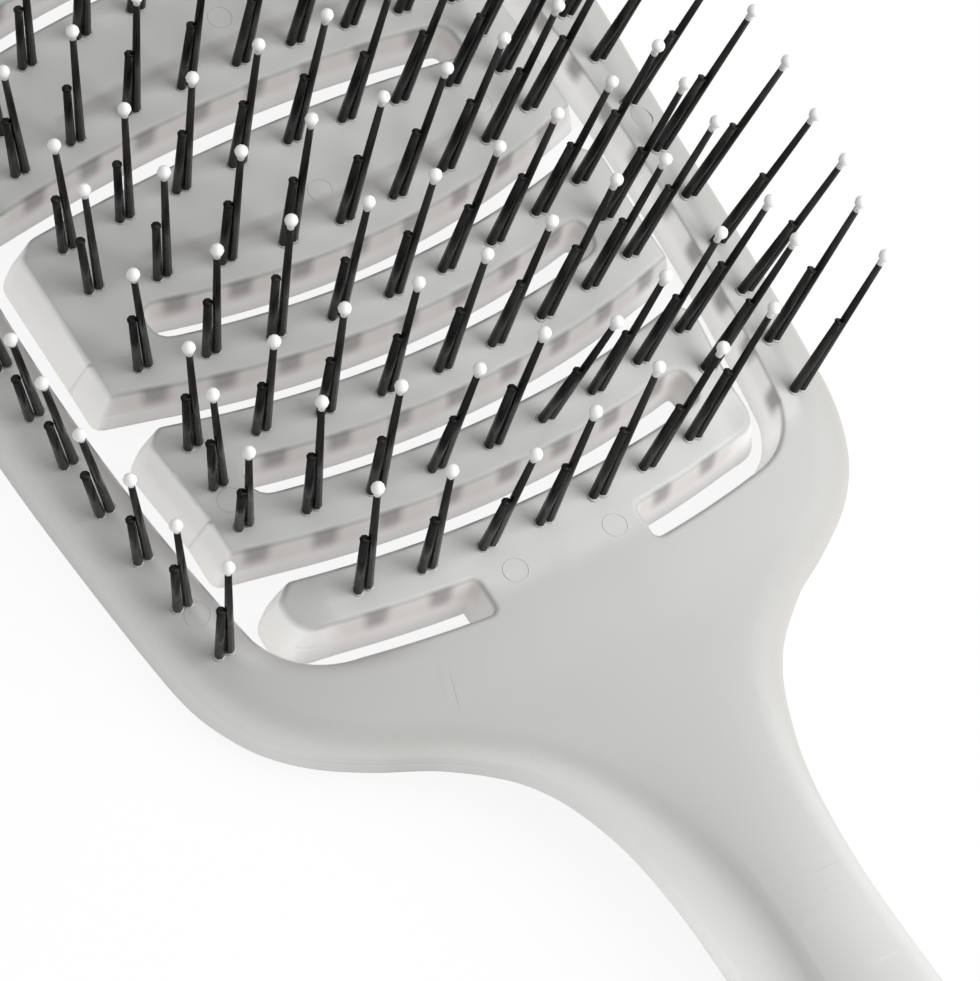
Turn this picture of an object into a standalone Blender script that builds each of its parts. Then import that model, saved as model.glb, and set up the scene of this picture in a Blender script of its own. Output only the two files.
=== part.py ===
"""A vented hair brush that lies on its back: a two-shell frame, a serpentine of bars and twin pins.

Every outline is drawn flat, from above, with x across the brush and y along it, both measured from the
middle of the pad, and z measured down from the flat front of the pad. The function to_world then arches
the head across its width, swells the neck into the handle and sets the brush on the ground at z = 0.
Units are metres.
"""

import bisect

import bmesh
import bpy
from mathutils import Vector

# Overall sizes, and the widths of the frame round the pad
OVERALL_LENGTH = 0.240
RIM_ABOVE_PAD = 0.00975
RIM_BELOW_PAD = 0.01365
RIM_BESIDE_PAD = 0.0087
NECK_LENGTH = 0.0288
SHOULDER_HALF_WIDTH = 0.0157
NECK_HALF_WIDTH = 0.008
HANDLE_HALF_WIDTH = 0.0105
HANDLE_DEPTH = 0.0152
ARCH_RADIUS = 0.132

# Layers of the head, from the front downward
TOP_WALL = 0.0012
FRONT_DEPTH = 0.0025
LAYER_GAP = 0.0003
BAR_DEPTH = 0.0048
HEAD_DEPTH = 0.0053

# The pad: bars across the head, joined end to end by webs
BAR_END_MARGIN = 0.005
PAD_TAPER = 0.0047
PAD_END_MARGIN = 0.00255
RIM_GAP = 0.003
BAR_HALF_WIDTH = 0.00325
BAR_CORNER = 0.0018
WEB_WIDTH = 0.0081
WEB_LEAST_WIDTH = 0.0052
WEB_PIN_INSET = 0.003
WEB_NOTCH = 0.001
SEAM_GAP = 0.0003
STEM_HALF_WIDTH = 0.0095
BAR_COUNT = 9
LENS_BAR = 5

# Rows of pins
PIN_PITCH = 0.0063
COLUMN_REACH = 4
SHORT_ROW_REACH = 3
LENS_HALF_SPACING = 0.0051
LOWER_ROW_PITCH = 0.0093
UPPER_ROW_PITCH = 0.0101
LOWER_SAG_FIRST = 0.0047
LOWER_SAG_LAST = 0.0035
UPPER_SAG_FIRST = 0.0004
UPPER_SAG_LAST = 0.0028
ROWS_PER_HALF = 5
RIM_PIN_COUNT = 14
RIM_PIN_PITCH = 0.00605
RIM_PIN_INSET = 0.0032

# Pins: each pair has a long ball-tipped pin and, to its left, a short one
PIN_LENGTH = 0.0204
SHORT_PIN_LENGTH = 0.0104
PIN_HALF_WIDTH = 0.00041
PIN_NECK_HALF_WIDTH = 0.00033
SHORT_TIP_HALF_WIDTH = 0.00038
PIN_NECK_LENGTH = 0.001
BALL_RADIUS = 0.0007
BALL_HALF_WIDTH = 0.0006
TWIN_HALF_SPACING = 0.00053
PIN_PLATE_HALF_WIDTH = 0.0009
PIN_PLATE_DEPTH = 0.0009
PIN_PLATE_END = 0.0017
FIT_CLEARANCE = 0.0003
HOLE_CLEARANCE = 0.00025

# Edges, the handle's hollow and the flats
RIM_CHAMFER = 0.0012
BAR_CHAMFER = 0.0005
HOLLOW_HALF_WIDTH = 0.005
HOLLOW_NECK_GAP = 0.0178
HOLLOW_END_GAP = 0.0125
HOLLOW_CORNER = 0.002
FLAT_WIDTH = 0.0049
SWELL_GAP = 0.00445
SIDE_HEIGHT_SHARE = 0.25
ROUNDING_POWER = 2.4

# Half outline from the top of the head to the middle of the pad, as shares of its half width and its height
HEAD_SHARES = (
    (0.0, 1.0), (0.19, 0.995), (0.382, 0.975), (0.55, 0.935), (0.688, 0.87),
    (0.788, 0.78), (0.864, 0.67), (0.925, 0.54), (0.975, 0.38), (1.0, 0.2), (0.976, 0.0),
)
# From there to the shoulder, as shares of the head's half width and of the shoulder's reach
SHOULDER_SHARES = (
    (0.963, 0.1), (0.949, 0.25), (0.93, 0.4), (0.907, 0.55), (0.884, 0.655), (0.848, 0.725),
    (0.797, 0.785), (0.72, 0.84), (0.616, 0.89), (0.487, 0.94), (0.3747, 1.0),
)
# The neck, as shares of the width it loses and of its length
NECK_SHARES = ((0.67, 0.108), (0.435, 0.23), (0.21, 0.41), (0.075, 0.61), (0.01, 0.81), (0.0, 1.0))
# The handle, as shares of its half width and of its length below the neck
HANDLE_SHARES = (
    (0.825, 0.14), (0.92, 0.32), (0.98, 0.5), (1.0, 0.66), (0.97, 0.8),
    (0.88, 0.9), (0.68, 0.96), (0.38, 0.99), (0.0, 1.0),
)
# Cuts across the neck and handle that let them swell, as shares of the length below SWELL_START
SWELL_CUT_SHARES = (0.04, 0.1, 0.16, 0.23, 0.33, 0.5, 0.68, 0.84, 0.93)
# Cuts along the handle that round it, as shares of its half width
ROUNDING_CUT_SHARES = (0.35, 0.72)
# Bend of the opening's corner, as shares of the way from its end edge to its side, and its points' places
CORNER_BEND_SHARES = (0.75, 0.15)
CORNER_POINT_SHARES = (0.33, 0.67)
# How far along the pad's half length the opening's corner starts, and the places of its side points
CORNER_START_SHARE = 0.86
OPENING_SIDE_SHARES = (0.65, 0.35, 0.0, -0.35, -0.65)
# The least share of a corner's two normals that an offset counts on
SHARP_CORNER_SHARE = 0.5

# Looks: linear colour, roughness and how much light passes
FROSTED_COLOUR = (0.62, 0.62, 0.60)
FROSTED_ROUGHNESS = 0.35
FROSTED_TRANSMISSION = 0.3
NYLON_COLOUR = (0.025, 0.025, 0.023)
NYLON_ROUGHNESS = 0.25

# How far the opening round the pad reaches below and above the pad's middle
BELOW_REACH = LENS_HALF_SPACING + (ROWS_PER_HALF - 1) * LOWER_ROW_PITCH + BAR_HALF_WIDTH + RIM_GAP
ABOVE_REACH = LENS_HALF_SPACING + (ROWS_PER_HALF - 1) * UPPER_ROW_PITCH + BAR_HALF_WIDTH + RIM_GAP
PAD_HALF_LENGTH = BELOW_REACH - PAD_END_MARGIN
PAD_HALF_WIDTH = COLUMN_REACH * PIN_PITCH + BAR_END_MARGIN
WEB_INNER = PAD_HALF_WIDTH - WEB_WIDTH
HEAD_TOP = ABOVE_REACH + RIM_ABOVE_PAD
HEAD_HALF_WIDTH = PAD_HALF_WIDTH + RIM_GAP + RIM_BESIDE_PAD
SHOULDER_REACH = BELOW_REACH + RIM_BELOW_PAD
NECK_REACH = SHOULDER_REACH + NECK_LENGTH
SWELL_START = BELOW_REACH + SWELL_GAP
HANDLE_END = OVERALL_LENGTH - HEAD_TOP
HOLLOW_START = SHOULDER_REACH + HOLLOW_NECK_GAP
HOLLOW_END = HANDLE_END - HOLLOW_END_GAP
PAD_CENTRE_Y = OVERALL_LENGTH / 2 - HEAD_TOP
FLAT_START = HEAD_HALF_WIDTH - FLAT_WIDTH
CROWN_HEIGHT = HEAD_DEPTH + FLAT_START**2 / (2 * ARCH_RADIUS)
PIN_PLATE_TOP = -TOP_WALL - FIT_CLEARANCE
BACK_TOP = -FRONT_DEPTH - LAYER_GAP
PARTING = -FRONT_DEPTH - LAYER_GAP / 2
BEND_CUTS = tuple(PIN_PITCH * half_step / 2 for half_step in (-9, -5, -1, 1, 5, 9))


def half_outline():
    """Points of the brush's right side, from the top of the head to the end of the handle."""
    points = [(HEAD_HALF_WIDTH * sx, HEAD_TOP * sy) for sx, sy in HEAD_SHARES]
    points += [(HEAD_HALF_WIDTH * sx, -SHOULDER_REACH * sy) for sx, sy in SHOULDER_SHARES]
    lost = SHOULDER_HALF_WIDTH - NECK_HALF_WIDTH
    neck = NECK_REACH - SHOULDER_REACH
    points += [(NECK_HALF_WIDTH + lost * sx, -SHOULDER_REACH - neck * sy) for sx, sy in NECK_SHARES]
    grip = HANDLE_END - NECK_REACH
    points += [(HANDLE_HALF_WIDTH * sx, -NECK_REACH - grip * sy) for sx, sy in HANDLE_SHARES]
    return points


def brush_outline():
    """The whole outline, counter-clockwise from above."""
    right = half_outline()
    left = [(-x, y) for x, y in right[1:-1]]
    return left + right[::-1]


SIDE_PROFILE = sorted((y, x) for x, y in half_outline())
SIDE_PROFILE_Y = [y for y, _ in SIDE_PROFILE]


def half_width_at(y):
    """Half the brush's width at y."""
    above = min(max(bisect.bisect_left(SIDE_PROFILE_Y, y), 1), len(SIDE_PROFILE) - 1)
    (y0, x0), (y1, x1) = SIDE_PROFILE[above - 1], SIDE_PROFILE[above]
    share = min(max((y - y0) / (y1 - y0), 0), 1)
    return x0 + (x1 - x0) * share


def smooth_step(share):
    share = min(max(share, 0), 1)
    return share * share * (3 - 2 * share)


def to_world(x, y, z):
    """The flat drawing's point on the real brush."""
    swell = smooth_step((-y - SWELL_START) / (NECK_REACH - SWELL_START))
    arch = x * x / (2 * ARCH_RADIUS) * (1 - swell)
    head = CROWN_HEIGHT + z - arch
    side = min(abs(x) / max(half_width_at(y), PIN_HALF_WIDTH), 1)
    rounding = max((1 - side**ROUNDING_POWER) ** (1 / ROUNDING_POWER), SIDE_HEIGHT_SHARE)
    offset = z - PARTING
    gap = LAYER_GAP / 2
    stretch = (HANDLE_DEPTH / 2 - gap) / (HEAD_DEPTH / 2 - gap)
    side_of_parting = 1 if offset > 0 else -1
    grip = HANDLE_DEPTH / 2 + side_of_parting * (gap + (abs(offset) - gap) * stretch * rounding)
    height = head + (grip - head) * swell
    return Vector((x, y + PAD_CENTRE_Y, max(height, 0)))


def offset_loop(points, distance):
    """A counter-clockwise loop moved inward by a distance, corner by corner."""
    moved = []
    for i, point in enumerate(points):
        here = Vector(point)
        before = (here - Vector(points[i - 1])).normalized()
        after = (Vector(points[(i + 1) % len(points)]) - here).normalized()
        n1 = Vector((-before.y, before.x))
        n2 = Vector((-after.y, after.x))
        step = (n1 + n2) * (distance / max(1 + n1.dot(n2), SHARP_CORNER_SHARE))
        moved.append(tuple(here + step))
    return moved


def row_y(row, x):
    """The y of a row of pins, counted 1 to 10 from the handle, at x."""
    reach = x / (COLUMN_REACH * PIN_PITCH)
    last = ROWS_PER_HALF - 1
    if row <= ROWS_PER_HALF:
        step = ROWS_PER_HALF - row
        sag = LOWER_SAG_FIRST + (LOWER_SAG_LAST - LOWER_SAG_FIRST) * step / last
        return -LENS_HALF_SPACING - step * LOWER_ROW_PITCH + sag * reach * reach
    step = row - ROWS_PER_HALF - 1
    sag = UPPER_SAG_FIRST + (UPPER_SAG_LAST - UPPER_SAG_FIRST) * step / last
    return LENS_HALF_SPACING + step * UPPER_ROW_PITCH - sag * reach * reach


def bar_rows(bar):
    """The lowest and highest row on a bar. The lens-shaped bar in the middle carries two."""
    return (bar if bar <= LENS_BAR else bar + 1, bar if bar < LENS_BAR else bar + 1)


def pad_half_width(y):
    return PAD_HALF_WIDTH - PAD_TAPER * (y / PAD_HALF_LENGTH) ** 2


def bar_low(bar, x):
    return row_y(bar_rows(bar)[0], x) - BAR_HALF_WIDTH


def bar_high(bar, x):
    return row_y(bar_rows(bar)[1], x) + BAR_HALF_WIDTH


def bar_end(bar):
    """Half the length of a bar."""
    low, high = bar_rows(bar)
    reach = COLUMN_REACH * PIN_PITCH
    return pad_half_width((row_y(low, reach) + row_y(high, reach)) / 2)


def web_inner(bar):
    """Where the web of a bar begins, counted from the middle."""
    return min(WEB_INNER, bar_end(bar) - WEB_LEAST_WIDTH)


def web_side(bar):
    """The side, 1 or -1, where a bar reaches down to the bar before it: right on even bars."""
    return 1 if bar % 2 == 0 else -1


def bar_edges(bar):
    """The lower edge from left to right and the upper edge from right to left."""
    end = bar_end(bar)
    side = web_side(bar)
    columns = [step * PIN_PITCH for step in range(-SHORT_ROW_REACH, SHORT_ROW_REACH + 1)]
    low = [(x, bar_low(bar, x)) for x in columns]
    high = [(x, bar_high(bar, x)) for x in columns]
    corner = end - BAR_CORNER
    # The lower edge ends in a cut corner, or in the web that meets the bar before.
    cut = [(corner, bar_low(bar, corner)), (end, bar_low(bar, corner) + BAR_CORNER)]
    web = cut
    if bar > 1:
        inner = web_inner(bar)
        reach = [(x, bar_high(bar - 1, x) - WEB_NOTCH + SEAM_GAP) for x in (inner, end)]
        web = [(inner, bar_low(bar, inner))] + reach
    right, left = (web, cut) if side > 0 else (cut, web)
    low = [(-x, y) for x, y in left[::-1]] + low + right
    # The upper edge is notched where the next bar's web meets it, and has a cut corner at its other end.
    cut = [(corner, bar_high(bar, corner)), (end, bar_high(bar, corner) - BAR_CORNER)]
    notch = cut
    if bar < BAR_COUNT:
        inner = web_inner(bar + 1)
        drop = [(x, bar_high(bar, x) - WEB_NOTCH) for x in (inner, end)]
        notch = [(inner, bar_high(bar, inner))] + drop
    right, left = (cut, notch) if side > 0 else (notch, cut)
    high = [(-x, y) for x, y in left[::-1]] + high + right
    return low, high[::-1]


def bar_outline(bar):
    low, high = bar_edges(bar)
    return low + high


def web_pin(bar):
    """The place of the pin pair on a bar's web, or None on the first bar and the lens bar."""
    if bar in (1, LENS_BAR):
        return None
    x = web_side(bar) * min(COLUMN_REACH * PIN_PITCH, bar_end(bar) - WEB_PIN_INSET)
    return x, (row_y(bar_rows(bar - 1)[1], x) + row_y(bar_rows(bar)[0], x)) / 2


def bar_pins(bar):
    """The places of the pin pairs on a bar."""
    places = []
    for row in sorted(set(bar_rows(bar))):
        reach = SHORT_ROW_REACH if row in (1, 2 * ROWS_PER_HALF) else COLUMN_REACH
        places += [(step * PIN_PITCH, row_y(row, step * PIN_PITCH)) for step in range(-reach, reach + 1)]
    return places + ([web_pin(bar)] if web_pin(bar) else [])


def pin_band(bar, grow):
    """The outline of a bar's pin plate, grown all round."""
    low_row, high_row = bar_rows(bar)
    half = PIN_PLATE_HALF_WIDTH + grow
    reach = max(abs(x) for x, y in bar_pins(bar))
    end = reach + PIN_PLATE_END + grow
    steps = round(reach / PIN_PITCH) - 1
    columns = [step * PIN_PITCH for step in range(-steps, steps + 1)]
    low = [(x, row_y(low_row, x) - half) for x in columns]
    high = [(x, row_y(high_row, x) + half) for x in columns]
    plain = [(end, row_y(low_row, end) - half)]
    hook = plain
    if web_pin(bar):
        x, y = web_pin(bar)
        inner = abs(x) - PIN_PLATE_END - grow
        end = abs(x) + PIN_PLATE_END + grow
        plain = [(end, row_y(low_row, end) - half)]
        hook = [(inner, row_y(low_row, inner) - half), (inner, y - half), (end, y - half)]
    right, left = (hook, plain) if web_side(bar) > 0 else (plain, hook)
    low = [(-x, y) for x, y in left[::-1]] + low + right
    high = [(-end, row_y(high_row, end) + half)] + high + [(end, row_y(high_row, end) + half)]
    return low + high[::-1]


def rim_pins(side):
    """The places of the pin pairs along one side of the rim."""
    middle = (RIM_PIN_COUNT - 1) / 2
    places = []
    for step in range(RIM_PIN_COUNT):
        y = (step - middle) * RIM_PIN_PITCH
        places.append((side * (pad_half_width(y) + RIM_GAP + RIM_PIN_INSET), y))
    return places


def rim_band(side, grow):
    """The outline of one rim's pin plate, counter-clockwise."""
    half = PIN_PLATE_END + grow
    places = rim_pins(1)
    first, last = places[0], places[-1]
    path = [(first[0], first[1] - half)] + places[1:-1:2] + [(last[0], last[1] + half)]
    outer = [(x + half, y) for x, y in path]
    inner = [(x - half, y) for x, y in path]
    band = outer + inner[::-1]
    return band if side > 0 else [(-x, y) for x, y in band[::-1]]


def frame_opening():
    """The gap around the pad: inside the rim, and around the first and the last bar on their stems."""
    low1, high1 = bar_edges(1)
    low9, high9 = bar_edges(BAR_COUNT)
    stem = STEM_HALF_WIDTH

    def rim_edge(bar_y, sign):
        """The opening's end edge and corner, from the stem outward."""
        columns = (stem, 2 * PIN_PITCH, SHORT_ROW_REACH * PIN_PITCH, WEB_INNER)
        run = [Vector((x, bar_y(x) + sign * RIM_GAP)) for x in columns]
        y = sign * PAD_HALF_LENGTH * CORNER_START_SHARE
        side = Vector((pad_half_width(y) + RIM_GAP, y))
        way = side - run[-1]
        bend = run[-1] + Vector((way.x * CORNER_BEND_SHARES[0], way.y * CORNER_BEND_SHARES[1]))
        arc = [run[-1] * (1 - t) ** 2 + bend * 2 * t * (1 - t) + side * t * t for t in CORNER_POINT_SHARES]
        return [tuple(point) for point in run + arc + [side]]

    def first_low(x):
        return bar_low(1, x)

    def last_high(x):
        return bar_high(BAR_COUNT, x)

    heights = [-PAD_HALF_LENGTH * share for share in OPENING_SIDE_SHARES]
    sides = [(pad_half_width(y) + RIM_GAP, y) for y in heights]
    right = rim_edge(first_low, -1) + sides + rim_edge(last_high, 1)[::-1]
    left = [(-x, y) for x, y in right[::-1]]
    # Around the last bar, clockwise from the right of its stem, and the first bar from the left of its stem
    last_bar = [(stem, last_high(stem))] + [p for p in high9[::-1] if p[0] > stem]
    last_bar += low9[::-1]
    last_bar += [p for p in high9[::-1] if p[0] < -stem] + [(-stem, last_high(stem))]
    first_bar = [(-stem, first_low(stem))] + [p for p in low1 if p[0] < -stem][::-1]
    first_bar += high1[::-1]
    first_bar += [p for p in low1 if p[0] > stem][::-1] + [(stem, first_low(stem))]
    return right + last_bar + left + first_bar


def handle_hollow():
    half, cut = HOLLOW_HALF_WIDTH, HOLLOW_CORNER
    low, high = -HOLLOW_END, -HOLLOW_START
    return [
        (-half + cut, low), (half - cut, low), (half, low + cut), (half, high - cut),
        (half - cut, high), (-half + cut, high), (-half, high - cut), (-half, low + cut),
    ]


def rectangle(x, y, half_x, half_y):
    return [(x - half_x, y - half_y), (x + half_x, y - half_y), (x + half_x, y + half_y), (x - half_x, y + half_y)]


def lean_at(x):
    """How far a pin, square to the arch, moves sideways for each unit that it rises."""
    return x / ARCH_RADIUS


class Slab:
    """A closed solid drawn flat from loops, walls between them and caps across them."""

    def __init__(self):
        self.mesh = bmesh.new()
        self.strands = []

    def loop(self, points, z):
        verts = [self.mesh.verts.new((x, y, z)) for x, y in points]
        for first, second in zip(verts, verts[1:] + verts[:1]):
            self.mesh.edges.new((first, second))
        return verts

    def wall(self, upper, lower):
        for i in range(len(upper)):
            self.mesh.faces.new((upper[i - 1], upper[i], lower[i], lower[i - 1]))

    def cap(self, loops):
        edges = [self.mesh.edges.get((loop[i - 1], loop[i])) for loop in loops for i in range(len(loop))]
        bmesh.ops.triangle_fill(self.mesh, use_beauty=True, use_dissolve=False, edges=edges)

    def side(self, points, top, bottom, top_chamfer, bottom_chamfer, inward):
        """The wall under one edge of the slab, with its chamfers. Returns its top and bottom loops."""
        loops = [self.loop(points, top - top_chamfer)]
        if top_chamfer:
            loops.insert(0, self.loop(offset_loop(points, inward * top_chamfer), top))
        loops.append(self.loop(points, bottom + bottom_chamfer))
        if bottom_chamfer:
            loops.append(self.loop(offset_loop(points, inward * bottom_chamfer), bottom))
        for upper, lower in zip(loops, loops[1:]):
            self.wall(upper, lower)
        return loops[0], loops[-1]

    def pocket(self, points, mouth, floor, through, pairs):
        """A pocket from its mouth to its floor, with a leaning hole on to the far face for each pin pair."""
        mouth_loop = self.loop(points, mouth)
        floor_loop = self.loop(points, floor)
        self.wall(floor_loop, mouth_loop)
        half_x = TWIN_HALF_SPACING + PIN_HALF_WIDTH + HOLE_CLEARANCE
        half_y = PIN_HALF_WIDTH + HOLE_CLEARANCE
        low_holes, high_holes = [], []
        for x, y in pairs:
            shift = lean_at(x) * (through - PIN_PLATE_TOP)
            start = lean_at(x) * (floor - PIN_PLATE_TOP)
            low_holes.append(self.loop(rectangle(x + start, y, half_x, half_y), floor))
            high_holes.append(self.loop(rectangle(x + shift, y, half_x, half_y), through))
            self.wall(high_holes[-1], low_holes[-1])
        self.cap([floor_loop] + low_holes)
        return mouth_loop, high_holes

    def cut(self, place, normal, faces=None):
        faces = faces if faces is not None else self.mesh.faces[:]
        edges = list({edge for face in faces for edge in face.edges})
        verts = list({vert for face in faces for vert in face.verts})
        bmesh.ops.bisect_plane(
            self.mesh, geom=verts + edges + faces, dist=FIT_CLEARANCE / 1000, plane_co=place, plane_no=normal
        )

    def cut_across(self, places):
        for x in places:
            self.cut((x, 0, 0), (1, 0, 0))

    def cut_handle(self):
        """Cuts the neck and handle into a grid that can swell and round."""
        length = HANDLE_END - SWELL_START
        for share in SWELL_CUT_SHARES:
            self.cut((0, -SWELL_START - length * share, 0), (0, 1, 0))
        for share in ROUNDING_CUT_SHARES:
            for x in (-HANDLE_HALF_WIDTH * share, HANDLE_HALF_WIDTH * share):
                below = [f for f in self.mesh.faces if f.calc_center_median().y < -SHOULDER_REACH]
                self.cut((x, 0, 0), (1, 0, 0), below)

    def shape(self):
        for vert in self.mesh.verts:
            vert.co = to_world(*vert.co)

    def grow_strand(self, base, x, y, rings, tip):
        """Grows a four-sided pin from its base loop, through rings of (height, half width), to its tip."""
        foot = to_world(x, y, PIN_PLATE_TOP)
        direction = Vector((lean_at(x), 0, 1)).normalized()
        below = base
        for height, half in rings:
            middle = foot + direction * height
            ring = [self.mesh.verts.new(middle + Vector((px, py, 0))) for px, py in rectangle(0, 0, half, half)]
            self.wall(ring, below)
            below = ring
        if tip:
            end = self.mesh.verts.new(foot + direction * tip)
            for i in range(len(below)):
                self.mesh.faces.new((below[i - 1], below[i], end))
        else:
            self.mesh.faces.new(below)

    def finish(self, name, material):
        bmesh.ops.recalc_face_normals(self.mesh, faces=self.mesh.faces[:])
        data = bpy.data.meshes.new(name)
        self.mesh.to_mesh(data)
        self.mesh.free()
        node = bpy.data.objects.new(name, data)
        data.materials.append(material)
        bpy.context.scene.collection.objects.link(node)
        return node


def make_material(name, colour, roughness, transmission=0.0):
    material = bpy.data.materials.new(name)
    material.use_nodes = True
    shader = material.node_tree.nodes["Principled BSDF"]
    shader.inputs["Base Color"].default_value = (*colour, 1)
    shader.inputs["Roughness"].default_value = roughness
    shader.inputs["Metallic"].default_value = 0
    shader.inputs["Transmission Weight"].default_value = transmission
    material.diffuse_color = (*colour, 1)
    return material


def frosted(name):
    return make_material(name, FROSTED_COLOUR, FROSTED_ROUGHNESS, FROSTED_TRANSMISSION)


def pin_nylon(name):
    return make_material(name, NYLON_COLOUR, NYLON_ROUGHNESS)


def make_pins(name, band, places, bend_cuts):
    """A pin plate with its twin pins."""
    slab = Slab()
    top, bottom = slab.side(band, PIN_PLATE_TOP, PIN_PLATE_TOP - PIN_PLATE_DEPTH, 0, 0, 1)
    slab.cap([bottom])
    bases = []
    for x, y in places:
        for sign in (-1, 1):
            at = x + sign * TWIN_HALF_SPACING
            base = slab.loop(rectangle(at, y, PIN_HALF_WIDTH, PIN_HALF_WIDTH), PIN_PLATE_TOP)
            bases.append((base, at, y, sign > 0))
    slab.cap([top] + [base for base, *_ in bases])
    slab.cut_across(bend_cuts)
    slab.shape()
    root = -PIN_PLATE_TOP
    long_rings = [
        (root + PIN_LENGTH - PIN_NECK_LENGTH, PIN_NECK_HALF_WIDTH),
        (root + PIN_LENGTH, BALL_HALF_WIDTH),
    ]
    short_rings = [(root + SHORT_PIN_LENGTH, SHORT_TIP_HALF_WIDTH)]
    for base, x, y, is_long in bases:
        if is_long:
            slab.grow_strand(base, x, y, long_rings, root + PIN_LENGTH + BALL_RADIUS)
        else:
            slab.grow_strand(base, x, y, short_rings, 0)
    return slab.finish(name, pin_nylon(name))


def make_bar_front(bar):
    """A bar's front shell, open below, with a leaning hole for each pin pair."""
    slab = Slab()
    top, bottom = slab.side(bar_outline(bar), 0, -FRONT_DEPTH, BAR_CHAMFER, 0, 1)
    mouth, holes = slab.pocket(pin_band(bar, FIT_CLEARANCE), -FRONT_DEPTH, -TOP_WALL, 0, bar_pins(bar))
    slab.cap([top] + holes)
    slab.cap([bottom, mouth])
    slab.cut_across(BEND_CUTS)
    slab.shape()
    return slab.finish(f"bar_{bar}_front", frosted(f"bar_{bar}_front"))


def make_bar_back(bar):
    """The plate that closes a bar from behind."""
    slab = Slab()
    top, bottom = slab.side(bar_outline(bar), BACK_TOP, -BAR_DEPTH, 0, 0, 1)
    slab.cap([top])
    slab.cap([bottom])
    slab.cut_across(BEND_CUTS)
    slab.shape()
    return slab.finish(f"bar_{bar}_back", frosted(f"bar_{bar}_back"))


def make_front_frame():
    """The front shell: rim, neck, front half of the handle, and the first and last bar."""
    slab = Slab()
    top, bottom = slab.side(brush_outline(), 0, -FRONT_DEPTH, RIM_CHAMFER, 0, 1)
    open_top, open_bottom = slab.side(frame_opening(), 0, -FRONT_DEPTH, BAR_CHAMFER, 0, -1)
    tops, bottoms = [top, open_top], [bottom, open_bottom]
    pockets = [(pin_band(bar, FIT_CLEARANCE), bar_pins(bar)) for bar in (1, BAR_COUNT)]
    pockets += [(rim_band(side, FIT_CLEARANCE), rim_pins(side)) for side in (-1, 1)]
    pockets += [(handle_hollow(), [])]
    for band, places in pockets:
        mouth, holes = slab.pocket(band, -FRONT_DEPTH, -TOP_WALL, 0, places)
        bottoms.append(mouth)
        tops += holes
    slab.cap(tops)
    slab.cap(bottoms)
    slab.cut_across(BEND_CUTS)
    slab.cut_handle()
    slab.shape()
    return slab.finish("front_frame", frosted("front_frame"))


def make_back_cover():
    """The back shell, under the whole front frame."""
    slab = Slab()
    top, bottom = slab.side(brush_outline(), BACK_TOP, -HEAD_DEPTH, 0, RIM_CHAMFER, 1)
    open_top, open_bottom = slab.side(frame_opening(), BACK_TOP, -HEAD_DEPTH, 0, 0, -1)
    mouth, _ = slab.pocket(handle_hollow(), BACK_TOP, -HEAD_DEPTH + TOP_WALL, 0, [])
    slab.cap([top, open_top, mouth])
    slab.cap([bottom, open_bottom])
    slab.cut_across(BEND_CUTS)
    slab.cut_across((-FLAT_START, FLAT_START))
    slab.cut_handle()
    slab.shape()
    return slab.finish("back_cover", frosted("back_cover"))


def main():
    for old in list(bpy.data.objects):
        bpy.data.objects.remove(old, do_unlink=True)
    make_front_frame()
    make_back_cover()
    for bar in range(2, BAR_COUNT):
        make_bar_front(bar)
        make_bar_back(bar)
    for bar in range(1, BAR_COUNT + 1):
        make_pins(f"bar_{bar}_pins", pin_band(bar, 0), bar_pins(bar), BEND_CUTS)
    for side, word in ((-1, "left"), (1, "right")):
        make_pins(f"{word}_rim_pins", rim_band(side, 0), rim_pins(side), ())


main()
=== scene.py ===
# %% [markdown]
# # A vented hair brush
# The brush lies on its back with the pins up. This lesson builds its looks in the order that somebody would
# make it: the outlines of the frame and of the bars, the shells moulded from them, the frosted plastic, the
# pins, and then the studio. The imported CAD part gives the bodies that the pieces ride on.

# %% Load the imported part
import bisect
import math

import bmesh
import bpy
from mathutils import Matrix, Vector


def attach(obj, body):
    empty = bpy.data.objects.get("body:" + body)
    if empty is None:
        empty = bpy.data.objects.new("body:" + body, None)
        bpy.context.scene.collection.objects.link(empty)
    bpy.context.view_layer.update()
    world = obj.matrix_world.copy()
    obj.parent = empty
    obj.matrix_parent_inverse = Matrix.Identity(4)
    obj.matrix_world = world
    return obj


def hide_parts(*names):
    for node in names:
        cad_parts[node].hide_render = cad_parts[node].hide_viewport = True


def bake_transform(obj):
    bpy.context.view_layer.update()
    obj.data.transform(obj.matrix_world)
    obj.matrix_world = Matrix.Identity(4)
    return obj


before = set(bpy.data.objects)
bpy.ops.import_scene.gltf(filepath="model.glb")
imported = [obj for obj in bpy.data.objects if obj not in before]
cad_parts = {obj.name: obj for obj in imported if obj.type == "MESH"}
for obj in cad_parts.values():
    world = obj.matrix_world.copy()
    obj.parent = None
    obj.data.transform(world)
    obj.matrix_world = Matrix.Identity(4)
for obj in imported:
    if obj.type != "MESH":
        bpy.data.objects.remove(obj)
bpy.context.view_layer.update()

# %% [markdown]
# ## The drawing
# The brush is drawn flat, with x across it and y along it from the middle of the pad. Its front is at z = 0,
# and the plastic lies below that. A real designer also starts from a flat outline. Lengths are metres and are
# the same as the CAD part's, so that each moulded piece covers its CAD solid.

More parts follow.
